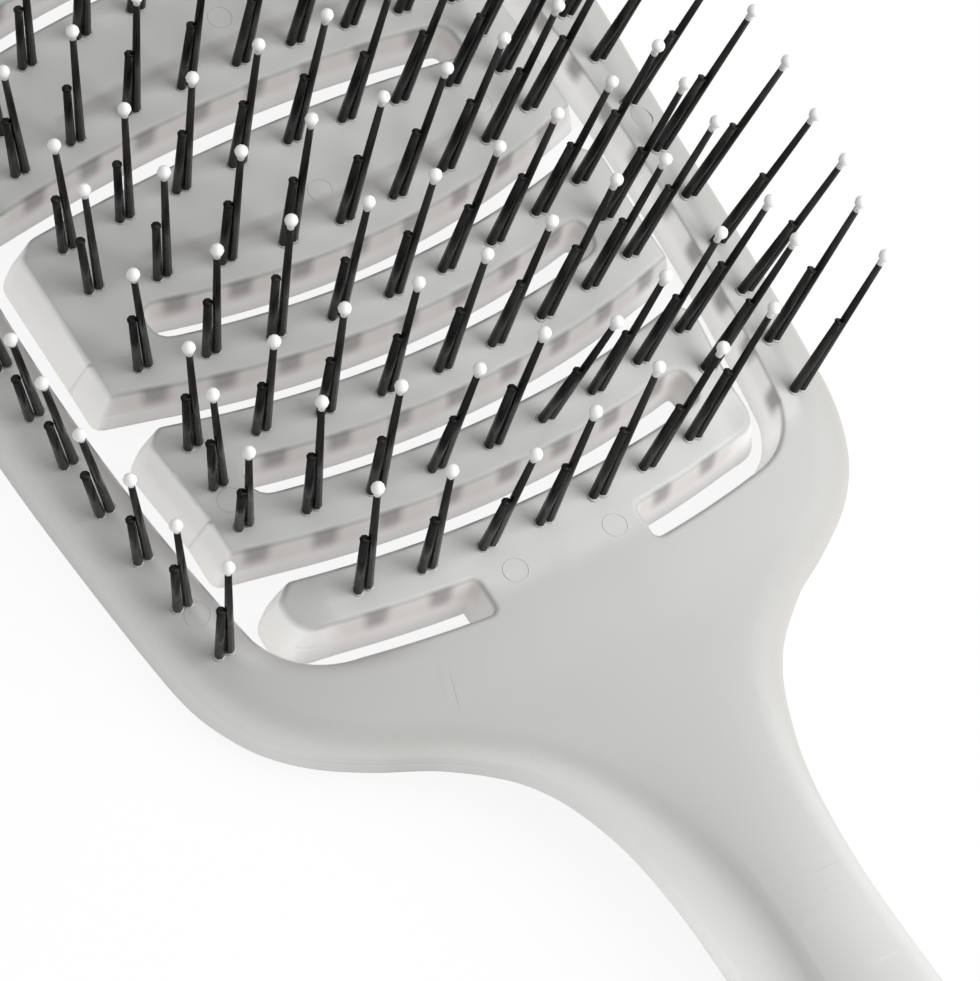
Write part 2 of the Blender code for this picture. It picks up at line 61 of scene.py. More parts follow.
# %% Sizes of the drawing
OVERALL_LENGTH = 0.240
RIM_ABOVE_PAD = 0.00975
RIM_BELOW_PAD = 0.01365
RIM_BESIDE_PAD = 0.0087
NECK_LENGTH = 0.0288
SHOULDER_HALF_WIDTH = 0.0157
NECK_HALF_WIDTH = 0.008
HANDLE_HALF_WIDTH = 0.0105
HANDLE_DEPTH = 0.0152
ARCH_RADIUS = 0.132
HEAD_DEPTH = 0.0053
BAR_DEPTH = 0.0048
FRONT_DEPTH = 0.0025
LAYER_GAP = 0.0003
SIDE_HEIGHT_SHARE = 0.25
ROUNDING_POWER = 2.4
BAR_END_MARGIN = 0.005
PAD_TAPER = 0.0047
RIM_GAP = 0.003
BAR_HALF_WIDTH = 0.00325
BAR_CORNER = 0.0018
UPPER_CORNER = (0.0022, 0.0018)
WEB_LEAST_WIDTH = 0.0052
WEB_PIN_INSET = 0.003
WEB_NOTCH = 0.002
STEM_HALF_WIDTH = 0.0095
BAR_COUNT = 9
FULL_WEB_BAR = 7
LENS_BAR = 5
PIN_PITCH = 0.0063
COLUMN_REACH = 4
SHORT_ROW_REACH = 3
LENS_HALF_SPACING = 0.0051
LOWER_ROW_PITCH = 0.0093
UPPER_ROW_PITCH = 0.0101
LOWER_SAG = (0.0047, 0.0035)
UPPER_SAG = (0.0004, 0.0028)
ROWS_PER_HALF = 5
RIM_PIN_COUNT = 14
RIM_PIN_PITCH = 0.00605
RIM_PIN_INSET = 0.0032
CORNER_START_SHARE = 0.86
PAD_END_TRIM = 0.00255
WEB_REACH = 0.0081
SWELL_DELAY = 0.00445
FLAT_LAND = 0.0049

BELOW_REACH = LENS_HALF_SPACING + (ROWS_PER_HALF - 1) * LOWER_ROW_PITCH + BAR_HALF_WIDTH + RIM_GAP
ABOVE_REACH = LENS_HALF_SPACING + (ROWS_PER_HALF - 1) * UPPER_ROW_PITCH + BAR_HALF_WIDTH + RIM_GAP
PAD_HALF_LENGTH = BELOW_REACH - PAD_END_TRIM
PAD_HALF_WIDTH = COLUMN_REACH * PIN_PITCH + BAR_END_MARGIN
WEB_INNER = PAD_HALF_WIDTH - WEB_REACH
HEAD_TOP = ABOVE_REACH + RIM_ABOVE_PAD
HEAD_HALF_WIDTH = PAD_HALF_WIDTH + RIM_GAP + RIM_BESIDE_PAD
SHOULDER_REACH = BELOW_REACH + RIM_BELOW_PAD
NECK_REACH = SHOULDER_REACH + NECK_LENGTH
SWELL_START = BELOW_REACH + SWELL_DELAY
HANDLE_END = OVERALL_LENGTH - HEAD_TOP
PAD_CENTRE_Y = OVERALL_LENGTH / 2 - HEAD_TOP
FLAT_START = HEAD_HALF_WIDTH - FLAT_LAND
CROWN_HEIGHT = HEAD_DEPTH + FLAT_START**2 / (2 * ARCH_RADIUS)
PARTING = -FRONT_DEPTH - LAYER_GAP / 2

HEAD_SHARES = (
    (0.0, 1.0), (0.19, 0.995), (0.382, 0.975), (0.55, 0.935), (0.688, 0.87),
    (0.788, 0.78), (0.864, 0.67), (0.925, 0.54), (0.975, 0.38), (1.0, 0.2), (0.976, 0.0),
)
SHOULDER_SHARES = (
    (0.963, 0.1), (0.949, 0.25), (0.93, 0.4), (0.907, 0.55), (0.884, 0.655), (0.848, 0.725),
    (0.797, 0.785), (0.72, 0.84), (0.616, 0.89), (0.487, 0.94), (0.3747, 1.0),
)
NECK_SHARES = ((0.67, 0.108), (0.435, 0.23), (0.21, 0.41), (0.075, 0.61), (0.01, 0.81), (0.0, 1.0))
HANDLE_SHARES = (
    (0.825, 0.14), (0.92, 0.32), (0.98, 0.5), (1.0, 0.66), (0.97, 0.8),
    (0.88, 0.9), (0.68, 0.96), (0.38, 0.99), (0.0, 1.0),
)
print("middle of the pad at y =", round(PAD_CENTRE_Y, 4), "m, crown at", round(CROWN_HEIGHT, 4), "m")

# %% [markdown]
# ## Smooth outlines
# The outline of the real brush is one flowing curve. A few drawn points are joined here by a spline, and each
# corner of the pad is rounded as a mould would round it. Every loop is then divided into short, even steps,
# so that the edges can be rolled over smoothly.

# %% Curves through points
STEP = 0.0007
TINY = 1e-9


def curve_at(start, bend, end, t):
    """A point on the way from start to end, drawn toward a third point between them."""
    return start * (1 - t) ** 2 + bend * (2 * t * (1 - t)) + end * t * t


def spline(points, closed=False):
    """Points along a smooth curve through the given ones."""
    count = len(points)
    result = []
    for i in range(count if closed else count - 1):
        picks = [i - 1, i, i + 1, i + 2]
        if closed:
            p0, p1, p2, p3 = [Vector(points[k % count]) for k in picks]
        else:
            p0, p1, p2, p3 = [Vector(points[min(max(k, 0), count - 1)]) for k in picks]
        square = p0 * 2 - p1 * 5 + p2 * 4 - p3
        cube = p1 * 3 - p0 - p2 * 3 + p3
        steps = max(2, round((p2 - p1).length / STEP))
        for k in range(steps):
            t = k / steps
            result.append((p1 * 2 + (p2 - p0) * t + square * t**2 + cube * t**3) / 2)
    if not closed:
        result.append(Vector(points[-1]))
    return result


def half_outline():
    """The drawn points of the brush's right side, from the top of the head to the end of the handle."""
    points = [(HEAD_HALF_WIDTH * sx, HEAD_TOP * sy) for sx, sy in HEAD_SHARES]
    points += [(HEAD_HALF_WIDTH * sx, -SHOULDER_REACH * sy) for sx, sy in SHOULDER_SHARES]
    lost = SHOULDER_HALF_WIDTH - NECK_HALF_WIDTH
    neck = NECK_REACH - SHOULDER_REACH
    points += [(NECK_HALF_WIDTH + lost * sx, -SHOULDER_REACH - neck * sy) for sx, sy in NECK_SHARES]
    grip = HANDLE_END - NECK_REACH
    points += [(HANDLE_HALF_WIDTH * sx, -NECK_REACH - grip * sy) for sx, sy in HANDLE_SHARES]
    return points


def brush_outline():
    """The whole outline, counter-clockwise from above, inside the part's own length and width."""
    right = half_outline()
    loop = []
    for p in spline([(-x, y) for x, y in right[1:-1]] + right[::-1], closed=True):
        x = min(max(p.x, -HEAD_HALF_WIDTH), HEAD_HALF_WIDTH)
        y = min(max(p.y, -HANDLE_END), HEAD_TOP)
        loop.append((Vector((x, y)), False))
    return loop


SIDE = sorted((p.y, abs(p.x)) for p, _ in brush_outline() if p.x >= 0)
SIDE_Y = [y for y, _ in SIDE]


def half_width_at(y):
    above = min(max(bisect.bisect_left(SIDE_Y, y), 1), len(SIDE) - 1)
    (y0, x0), (y1, x1) = SIDE[above - 1], SIDE[above]
    share = min(max((y - y0) / max(y1 - y0, TINY), 0), 1)
    return x0 + (x1 - x0) * share


def smooth_step(share):
    share = min(max(share, 0), 1)
    return share * share * (3 - 2 * share)


def rounded(corners):
    """A closed loop of (point, on a seam) from corners (x, y, radius, on a seam).

    A radius above zero trims its corner and rolls it over. A stretch between two seam points stays straight.
    """
    places = [Vector(corner[:2]) for corner in corners]
    count = len(places)
    lengths = [(places[(i + 1) % count] - places[i]).length for i in range(count)]
    total = sum(lengths)
    starts = [sum(lengths[:i]) for i in range(count)]

    def at(distance):
        distance %= total
        i = min(bisect.bisect_right(starts, distance) - 1, count - 1)
        return places[i].lerp(places[(i + 1) % count], (distance - starts[i]) / max(lengths[i], TINY))

    rolls = [(starts[i], corners[i][2]) for i in range(count) if corners[i][2] > 0]
    loop = []
    for i in range(count):
        if corners[i][2] > 0:
            before = at(starts[i] - corners[i][2])
            after = at(starts[i] + corners[i][2])
            steps = max(3, round(2 * corners[i][2] / STEP))
            for k in range(steps + 1):
                loop.append((curve_at(before, places[i], after, k / steps), False))
        else:
            gaps = [(abs((starts[i] - s + total / 2) % total - total / 2), r) for s, r in rolls]
            if all(gap >= r for gap, r in gaps):
                loop.append((places[i], corners[i][3]))
    even = []
    for (here, seam), (there, next_seam) in zip(loop, loop[1:] + loop[:1]):
        if seam and next_seam:
            even.append((here, True))
            continue
        steps = max(1, round((there - here).length / STEP))
        if seam or (there - here).length > STEP / 20:
            even += [(here.lerp(there, k / steps), seam and k == 0) for k in range(steps)]
    return even


outline = brush_outline()
print("the brush outline has", len(outline), "points")

# %% [markdown]
# ## The pad's winding band
# Nine bars cross the pad, joined end to end by webs on alternate sides, so that the pad is one springy band.
# The bars curve with the rows of pins that they carry, and the one in the middle is a lens with two rows.
# The photograph shows no slot between the rows of bars 6 and 7, so bar 7 joins bar 6 over its whole width.

# %% Rows, bars and webs
def row_y(row, x):
    """The y of a row of pins, counted 1 to 10 from the handle, at x."""
    reach = x / (COLUMN_REACH * PIN_PITCH)
    last = ROWS_PER_HALF - 1
    if row <= ROWS_PER_HALF:
        step = ROWS_PER_HALF - row
        sag = LOWER_SAG[0] + (LOWER_SAG[1] - LOWER_SAG[0]) * step / last
        return -LENS_HALF_SPACING - step * LOWER_ROW_PITCH + sag * reach * reach
    step = row - ROWS_PER_HALF - 1
    sag = UPPER_SAG[0] + (UPPER_SAG[1] - UPPER_SAG[0]) * step / last
    return LENS_HALF_SPACING + step * UPPER_ROW_PITCH - sag * reach * reach


def bar_rows(bar):
    return (bar if bar <= LENS_BAR else bar + 1, bar if bar < LENS_BAR else bar + 1)


def pad_half_width(y):
    return PAD_HALF_WIDTH - PAD_TAPER * (y / PAD_HALF_LENGTH) ** 2


def bar_low(bar, x):
    return row_y(bar_rows(bar)[0], x) - BAR_HALF_WIDTH


def bar_high(bar, x):
    return row_y(bar_rows(bar)[1], x) + BAR_HALF_WIDTH


def bar_end(bar):
    low, high = bar_rows(bar)
    reach = COLUMN_REACH * PIN_PITCH
    return pad_half_width((row_y(low, reach) + row_y(high, reach)) / 2)


def web_side(bar):
    """The side, 1 or -1, where a bar reaches down to the bar before it."""
    return 1 if bar % 2 == 0 else -1


def web_inner(bar):
    return min(WEB_INNER, bar_end(bar) - WEB_LEAST_WIDTH)


def web_pin(bar):
    if bar in (1, LENS_BAR):
        return None
    x = web_side(bar) * min(COLUMN_REACH * PIN_PITCH, bar_end(bar) - WEB_PIN_INSET)
    return x, (row_y(bar_rows(bar - 1)[1], x) + row_y(bar_rows(bar)[0], x)) / 2


def bar_pins(bar):
    places = []
    for row in sorted(set(bar_rows(bar))):
        reach = SHORT_ROW_REACH if row in (1, 2 * ROWS_PER_HALF) else COLUMN_REACH
        places += [(step * PIN_PITCH, row_y(row, step * PIN_PITCH)) for step in range(-reach, reach + 1)]
    return places + ([web_pin(bar)] if web_pin(bar) else [])


def rim_pins(side):
    places = []
    for step in range(RIM_PIN_COUNT):
        y = (step - (RIM_PIN_COUNT - 1) / 2) * RIM_PIN_PITCH
        places.append((side * (pad_half_width(y) + RIM_GAP + RIM_PIN_INSET), y))
    return places


print("twin pins on each bar:", [len(bar_pins(bar)) for bar in range(1, BAR_COUNT + 1)])

# %% Outlines of the bars
SEAM_CLEARANCE = 0.000001
WEB_FILLET = 0.0013
END_ROLL = 0.0007
BROAD_ROLL = 0.0034
SHARP_ROLL = 0.0004
HEEL_STEPS = 4


def mirrored(corners):
    return [(-c[0], *c[1:]) for c in corners[::-1]]


def along(start, end, height):
    """Points of a curved edge from one x to another, with no rolled corner."""
    steps = max(2, round(abs(end - start) / STEP))
    run = [start + (end - start) * k / steps for k in range(1, steps)]
    return [(x, height(x), 0, False) for x in run]


def seam_run(bar, clearance=0.0):
    """The line, from left to right, where the next bar joins this one over its whole width."""
    end = bar_end(bar)
    steps = round(2 * end / STEP)
    run = [-end + 2 * end * k / steps for k in range(steps + 1)]
    return [(x, bar_high(bar, x) - WEB_NOTCH + clearance, 0, True) for x in run]


def bar_edges(bar):
    """The lower edge from left to right and the upper edge from right to left, as corners to round."""
    end = bar_end(bar)
    side = web_side(bar)

    def low(x):
        return bar_low(bar, x)

    def high(x):
        return bar_high(bar, x)

    if bar == 1:
        web_start = cut_start = end - BAR_CORNER
        web = cut = [(end, low(web_start), BROAD_ROLL, False)]
    else:
        web_start, cut_start = web_inner(bar), end
        cut = [(end, low(end), END_ROLL, False)]
        foot = web_start - WEB_FILLET
        base = bar_high(bar - 1, foot) + SEAM_CLEARANCE
        outer = bar_end(bar - 1)
        seam = [(foot, base, 0, True), (foot, base - WEB_NOTCH, 0, True)]
        seam.append((outer, bar_high(bar - 1, outer) - WEB_NOTCH + SEAM_CLEARANCE, 0, True))
        bend = Vector((web_start, bar_high(bar - 1, web_start) + SEAM_CLEARANCE))
        start, stop = Vector((foot, base)), bend + Vector((0, WEB_FILLET))
        heel = [curve_at(start, bend, stop, k / HEEL_STEPS) for k in range(HEEL_STEPS, 0, -1)]
        web = [(web_start, low(web_start), WEB_FILLET, False)] + [(p.x, p.y, 0, False) for p in heel] + seam
    right, left = (web, cut) if side > 0 else (cut, web)
    right_start, left_start = (web_start, cut_start) if side > 0 else (cut_start, web_start)
    lower = mirrored(left) + along(-left_start, right_start, low) + right
    if bar == FULL_WEB_BAR:
        lower = seam_run(bar - 1, SEAM_CLEARANCE)
    if bar + 1 == FULL_WEB_BAR:
        return lower, seam_run(bar)[::-1]
    corner = end - UPPER_CORNER[0]
    if bar == BAR_COUNT:
        notch_start = corner
        notch = cut = [(end, high(corner), BROAD_ROLL, False)]
    else:
        notch_start = web_inner(bar + 1) - WEB_FILLET
        top = high(notch_start)
        cut = [(corner, high(corner), END_ROLL, False)]
        cut.append((end, high(corner) - UPPER_CORNER[1], END_ROLL, False))
        notch = [(notch_start, top, 0, True), (notch_start, top - WEB_NOTCH, 0, True)]
        notch.append((end, high(end) - WEB_NOTCH, 0, True))
    right, left = (cut, notch) if side > 0 else (notch, cut)
    right_start, left_start = (corner, notch_start) if side > 0 else (notch_start, corner)
    upper = mirrored(left) + along(-left_start, right_start, high) + right
    return lower, upper[::-1]


def bar_outline(bar):
    lower, upper = bar_edges(bar)
    return rounded(lower + upper)


print("the lens in the middle has", len(bar_outline(LENS_BAR)), "points")

# %% The opening round the pad
OPENING_BEND = (0.75, 0.15)
ARC_STEPS = 12
SIDE_STEPS = 60


def frame_opening():
    """The gap around the pad: inside the rim, and around the first and the last bar on their stems."""
    low1, high1 = bar_edges(1)
    low9, high9 = bar_edges(BAR_COUNT)
    stem = STEM_HALF_WIDTH

    def rim_edge(bar_y, sign):
        def edge(x):
            return bar_y(x) + sign * RIM_GAP

        run = [(stem, edge(stem), SHARP_ROLL, False)] + along(stem, WEB_INNER, edge)
        start = Vector((WEB_INNER, edge(WEB_INNER)))
        y = sign * PAD_HALF_LENGTH * CORNER_START_SHARE
        side = Vector((pad_half_width(y) + RIM_GAP, y))
        way = side - start
        bend = start + Vector((way.x * OPENING_BEND[0], way.y * OPENING_BEND[1]))
        arc = [curve_at(start, bend, side, k / ARC_STEPS) for k in range(ARC_STEPS + 1)]
        return run + [(p.x, p.y, 0, False) for p in arc]

    def first_low(x):
        return bar_low(1, x)

    def last_high(x):
        return bar_high(BAR_COUNT, x)

    def round_bar(foot, outer, inner, side):
        """The way round a bar, from one side of its stem to the other."""
        start = [p for p in outer if p[0] * side > stem + STEP]
        stop = [p for p in outer if p[0] * side < -stem - STEP]
        first, last = [(side * x, foot, SHARP_ROLL, False) for x in (stem, -stem)]
        return [first] + start + inner + stop + [last]

    limit = PAD_HALF_LENGTH * CORNER_START_SHARE
    heights = [-limit + 2 * limit * k / SIDE_STEPS for k in range(1, SIDE_STEPS)]
    sides = [(pad_half_width(y) + RIM_GAP, y, 0, False) for y in heights]
    right = rim_edge(first_low, -1) + sides + rim_edge(last_high, 1)[::-1]
    last_bar = round_bar(last_high(stem), high9[::-1], low9[::-1], 1)
    first_bar = round_bar(first_low(stem), low1[::-1], high1[::-1], -1)
    return rounded(right + last_bar + mirrored(right) + first_bar)


opening = frame_opening()
print("the opening round the pad has", len(opening), "points")

# %% [markdown]
# ## From the flat drawing to the arched brush
# The head of the real brush is slightly arched across its width, and its flat plate swells into a rounded
# handle. One function places every drawn point, so that shells, pins and marks stay together.

# %% Place a drawn point
FLARE = 0.0005
FLARE_REACH = 0.005
LEAST_SIDE = 0.0004


def to_world(x, y, z):
    swell = smooth_step((-y - SWELL_START) / (NECK_REACH - SWELL_START))
    arch = x * x / (2 * ARCH_RADIUS) * (1 - swell)
    head = CROWN_HEIGHT + z - arch
    side = min(abs(x) / max(half_width_at(y), LEAST_SIDE), 1)
    rounding = max((1 - side**ROUNDING_POWER) ** (1 / ROUNDING_POWER), SIDE_HEIGHT_SHARE)
    offset = z - PARTING
    gap = LAYER_GAP / 2
    stretch = (HANDLE_DEPTH / 2 - gap) / (HEAD_DEPTH / 2 - gap)
    grip = HANDLE_DEPTH / 2 + offset * stretch * rounding
    height = head + (grip - head) * swell
    return Vector((x, y + PAD_CENTRE_Y, max(height, 0)))


def flared(x, y, z):
    """The x of a drawn point, moved outward toward the back at the ends of the bars."""
    end = pad_half_width(y)
    beside = abs(x) > end + RIM_GAP / 2
    if beside or y < bar_low(1, x) - RIM_GAP / 2 or y > bar_high(BAR_COUNT, x) + RIM_GAP / 2:
        return x
    share = smooth_step((abs(x) - end + FLARE_REACH) / FLARE_REACH)
    return x + math.copysign(share * FLARE * min(-z / BAR_DEPTH, 1), x)


def lean_at(x):
    """How far a pin, square to the arch, moves sideways for each unit that it rises."""
    return x / ARCH_RADIUS


print("top of the crown:", [round(v, 4) for v in to_world(0, 0, 0)])

# %% [markdown]
# ## Moulding a shell
# A moulded shell has a broad face, edges rolled over by a small radius, and plain walls. Each loop of the
# drawing is stepped inward and downward along that roll, and the faces between the loops are then filled.
# Values for the plastic's colour are kept at each point: how far down it is, how much it belongs to a wall
# and to the outer side, how near the root of a pin is, both closely and broadly, how far it faces left, for
# the painted light where light that enters from the right would come out, and where the handle's flanks and
# the soft lines on the broad bars are. The flanks get painted light, and each soft line is a painted light
# band over a painted shade line.

# %% Values kept at a point
# Sizes of the soft lines on the broad bars: a painted shade line with a painted light band above it
GROOVE_LINE = 0.0027
GROOVE_REACH = 0.0215
GROOVE_FADE = 0.003
GROOVE_SPREAD = 0.0009
BAND_LIGHT_ABOVE = 0.0022
BAND_LIGHT_SPREAD = 0.0013
BAND_LIGHT_SHARE = 0.8
CELL = 0.008
SPOT_SPREADS = (0.001, 0.0026)
BAND_SPREADS = (0.0024, 0.0026)


def root_spots(spread_along, spread_across):
    """A soft spot round each pin root, long across the bar or rim that holds it, by cell of the drawing."""
    cells = {}
    roots = [(x, y, spread_along, spread_across) for bar in range(1, BAR_COUNT + 1) for x, y in bar_pins(bar)]
    roots += [(x, y, spread_across, spread_along) for side in (-1, 1) for x, y in rim_pins(side)]
    for root in roots:
        cells.setdefault((math.floor(root[0] / CELL), math.floor(root[1] / CELL)), []).append(root)
    return cells


def nearness(cells, x, y):
    """The sum of the soft spots near a point."""
    cx, cy = math.floor(x / CELL), math.floor(y / CELL)
    total = 0
    for i in (-1, 0, 1):
        for j in (-1, 0, 1):
            for px, py, sx, sy in cells.get((cx + i, cy + j), ()):
                total += math.exp(-((x - px) ** 2) / (2 * sx * sx) - (y - py) ** 2 / (2 * sy * sy))
    return min(total, 1)


def groove_at(x, y):
    """The soft lines on the broad bars: above 0 a painted light band, below 0 a painted shade line under it.
    """
    if not row_y(ROWS_PER_HALF, x) < y < row_y(ROWS_PER_HALF + 3, x):
        return 0
    row = ROWS_PER_HALF if y < row_y(ROWS_PER_HALF + 1, x) else ROWS_PER_HALF + 2
    above = y - row_y(row, x) - GROOVE_LINE
    fade = smooth_step((GROOVE_REACH - abs(x)) / GROOVE_FADE)
    light = BAND_LIGHT_SHARE * math.exp(-(((above - BAND_LIGHT_ABOVE) / BAND_LIGHT_SPREAD) ** 2) / 2)
    return fade * (light - math.exp(-((above / GROOVE_SPREAD) ** 2) / 2))


SPOTS = root_spots(*SPOT_SPREADS)
BANDS = root_spots(*BAND_SPREADS)
print(sum(len(cell) for cell in SPOTS.values()), "pin roots on the brush")

# %% Loops moved inward
SAME_PLACE = 1e-8
OFFSET_STEP = 0.0003
WALL_ROWS = 5


def steep(share):
    """The share, kept at least a half away from 0."""
    return math.copysign(max(abs(share), 0.5), share)


def offset_step(places, seams, distance):
    """A counter-clockwise loop moved inward by a small distance, with no move away from a seam."""
    moved = []
    count = len(places)
    for i, here in enumerate(places):
        b, a = i - 1, (i + 1) % count
        while (places[b] - here).length < SAME_PLACE:
            b -= 1
        while (places[a] - here).length < SAME_PLACE:
            a = (a + 1) % count
        first = (here - places[b]).normalized()
        second = (places[a] - here).normalized()
        n1 = Vector((-first.y, first.x))
        n2 = Vector((-second.y, second.x))
        d1 = 0 if seams[i] and seams[b] else distance
        d2 = 0 if seams[i] and seams[a] else distance
        if d1 == d2:
            moved.append(here + (n1 + n2) * (d1 / max(1 + n1.dot(n2), 0.5)))
        elif d1 == 0:
            moved.append(here + first * (distance / steep(first.dot(n2))))
        else:
            moved.append(here + second * (distance / steep(second.dot(n1))))
    return moved


def offset_loop(loop, distance):
    """The loop moved inward in small steps. The ends of an edge that would turn over are brought together."""
    places = [place for place, _ in loop]
    seams = [seam for _, seam in loop]
    count = len(loop)
    steps = max(1, math.ceil(abs(distance) / OFFSET_STEP))
    for _ in range(steps):
        moved = offset_step(places, seams, distance / steps)
        for i in range(count):
            j = (i + 1) % count
            turned = (moved[j] - moved[i]).dot(places[j] - places[i]) < 0
            if turned and not seams[i] and not seams[j]:
                moved[i] = moved[j] = (moved[i] + moved[j]) / 2
        places = moved
    return places


def roll_profile(roll, hold, depth, levels, walls=(0, 0)):
    """Steps of a rolled edge from the face outward: (inset, drop, straight wall depth, wall share)."""
    inset, drop = roll
    first, last = walls
    steps = [(first + inset + hold, 0, 0, 0)]
    for k in range(levels + 1):
        angle = math.pi / 2 * k / levels
        steps.append((first + inset * (1 - math.sin(angle)), drop * (1 - math.cos(angle)), 0, k / levels))
    for k in range(1, WALL_ROWS + 1):
        way = (last - first) * k / WALL_ROWS
        steps.append((first + way, drop, drop + (depth - drop) * k / WALL_ROWS, 1))
    return steps


print("a rolled edge has", len(roll_profile((1, 1), 1, 1, 4)), "rings")

# %% Shell builder
MERGE = 2e-8
FLAT = 1e-7
SHARP_ANGLE = math.radians(50)
# Inner walls get the painted light for facing left only near the ends of the slots
SLOT_END_REACH = 0.004
SLOT_END_FADE = 0.003
FLANK_POWER = 3
LEAST_HALF_WIDTH = 0.001
ALL_WALL = 0.99
NO_WALL = 0.01


def put_in_scene(name, data):
    piece = bpy.data.objects.new(name, data)
    bpy.context.scene.collection.objects.link(piece)
    return piece


class Shell:
    """A closed solid drawn flat from loops, walls between them and flat fillings across them."""

    def __init__(self):
        self.mesh = bmesh.new()
        self.wall_layer = self.mesh.verts.layers.float.new("wall")
        self.outside_layer = self.mesh.verts.layers.float.new("outside")

    def ring(self, points, heights, wall, outside):
        verts = [self.mesh.verts.new((p.x, p.y, z)) for p, z in zip(points, heights)]
        for vert in verts:
            vert[self.wall_layer] = wall
            vert[self.outside_layer] = outside
        for first, second in zip(verts, verts[1:] + verts[:1]):
            self.mesh.edges.new((first, second))
        return verts

    def edge(self, loop, inward, steps, top, sign, outside=0.0):
        """The rings of one edge, from its face at top, with sign -1 downward and 1 upward."""
        count = len(loop)
        free = [not (loop[i - 1][1] and loop[i][1] and loop[(i + 1) % count][1]) for i in range(count)]
        rings = []
        for inset, drop, depth, wall in steps:
            moved = offset_loop(loop, inward * inset)
            heights = [top + sign * max(depth, drop * rolled) for rolled in free]
            rings.append(self.ring(moved, heights, wall, outside))
        for upper, lower in zip(rings, rings[1:]):
            for i in range(len(upper)):
                self.mesh.faces.new((upper[i - 1], upper[i], lower[i], lower[i - 1]))

    def close(self, *heights):
        """Fills the flat loops that are open at these heights, the face of the shell first."""
        bmesh.ops.remove_doubles(self.mesh, verts=self.mesh.verts[:], dist=MERGE)
        for vert in self.mesh.verts:
            if abs(vert.co.z - heights[0]) < FLAT:
                vert[self.wall_layer] = 0
        for height in heights:
            edges = [edge for edge in self.mesh.edges if edge.is_boundary]
            edges = [edge for edge in edges if all(abs(vert.co.z - height) < FLAT for vert in edge.verts)]
            bmesh.ops.triangle_fill(self.mesh, use_beauty=True, use_dissolve=False, edges=edges)

    def cut(self, low, high, step, axis, limit=None):
        """Cuts the faces at even places from low to high along x or y, so that they can follow a curve."""
        for k in range(math.ceil(low / step), math.floor(high / step) + 1):
            faces = self.mesh.faces[:]
            if limit is not None:
                faces = [face for face in faces if face.calc_center_median().y < limit]
            edges = list({edge for face in faces for edge in face.edges})
            verts = list({vert for face in faces for vert in face.verts})
            normal = Vector((1, 0, 0)) if axis == 0 else Vector((0, 1, 0))
            place = normal * (k * step)
            geometry = verts + edges + faces
            bmesh.ops.bisect_plane(self.mesh, geom=geometry, dist=FLAT, plane_co=place, plane_no=normal)

    def finish(self, name, material):
        """Keeps the colour values, bends the flat drawing into its place, and gives the piece."""
        mesh = self.mesh
        bmesh.ops.recalc_face_normals(mesh, faces=mesh.faces[:])
        words = ("pin_spot", "pin_near", "depth", "light_through", "flank", "groove")
        spots, bands, depth, through, flank, groove = [mesh.verts.layers.float.new(word) for word in words]
        open_side = {}
        for vert in mesh.verts:
            x, y, z = vert.co
            inside = 1 - vert[self.outside_layer]
            vert[spots] = nearness(SPOTS, x, y) * inside
            vert[bands] = nearness(BANDS, x, y) * inside
            # flank: how far out on the handle's side a point lies, where painted light is laid
            handle = smooth_step((-y - SWELL_START) / (NECK_REACH - SWELL_START))
            vert[flank] = handle * min(abs(x) / max(half_width_at(y), LEAST_HALF_WIDTH), 1) ** FLANK_POWER
            vert[groove] = groove_at(x, y)
            vert[depth] = -z / HEAD_DEPTH
            slot_end = smooth_step((abs(x) - pad_half_width(y) + SLOT_END_REACH) / SLOT_END_FADE)
            open_side[vert] = slot_end if inside > 0.5 else 1
            vert.co = to_world(flared(x, y, z), y, z)
        mesh.normal_update()
        # Painted light: light_through grows as a wall, or a handle flank, faces left, where light from the
        # right would come out
        for vert in mesh.verts:
            wall = vert[self.wall_layer]
            slope = vert.normal.xy.length if wall > ALL_WALL else 1
            share = open_side[vert] if wall > NO_WALL else vert[flank]
            vert[through] = max(-vert.normal.x / max(slope, 1e-6), 0) * share
        for face in mesh.faces:
            face.smooth = True
        for edge in mesh.edges:
            edge.smooth = edge.calc_face_angle(0) < SHARP_ANGLE
        data = bpy.data.meshes.new(name)
        mesh.to_mesh(data)
        mesh.free()
        data.materials.append(material)
        return put_in_scene(name, data)


print("the shell builder is ready")

# %% [markdown]
# ## Frosted plastic
# The brush is moulded from frosted, see-through plastic. Its broad faces look like a soft grey. Its walls get
# a painted glow, with painted light where they face left and painted shade where they face away, in place of
# the light that comes through the plastic. A dark soft spot shows in a wall wherever a black pin is held
# behind it. One shader group makes that colour from the values kept on the shells.

# %% Node helpers
def linear(value):
    """A screen value from 0 to 255 as linear light."""
    value /= 255
    return value / 12.92 if value <= 0.04045 else ((value + 0.055) / 1.055) ** 2.4


def tone(red, green, blue):
    return (linear(red), linear(green), linear(blue), 1)


def fill(tree, node, inputs):
    """Links or sets the inputs of a node, by name or number."""
    for key, value in inputs.items():
        if isinstance(value, bpy.types.NodeSocket):
            tree.links.new(value, node.inputs[key])
        else:
            node.inputs[key].default_value = value
    return node


def add(tree, kind, inputs=None, **settings):
    node = tree.nodes.new(kind)
    for key, value in settings.items():
        setattr(node, key, value)
    return fill(tree, node, inputs or {})


def mix_colour(tree, factor, first, second):
    return add(tree, "ShaderNodeMix", {0: factor, 6: first, 7: second}, data_type="RGBA").outputs[2]


def calc(tree, operation, *values):
    return add(tree, "ShaderNodeMath", dict(enumerate(values)), operation=operation).outputs[0]


def ramp(tree, value, low, high, to_low=0.0, to_high=1.0):
    """A smooth change from to_low to to_high as the value goes from low to high."""
    limits = {"Value": value, "From Min": low, "From Max": high, "To Min": to_low, "To Max": to_high}
    return add(tree, "ShaderNodeMapRange", limits, interpolation_type="SMOOTHSTEP").outputs["Result"]


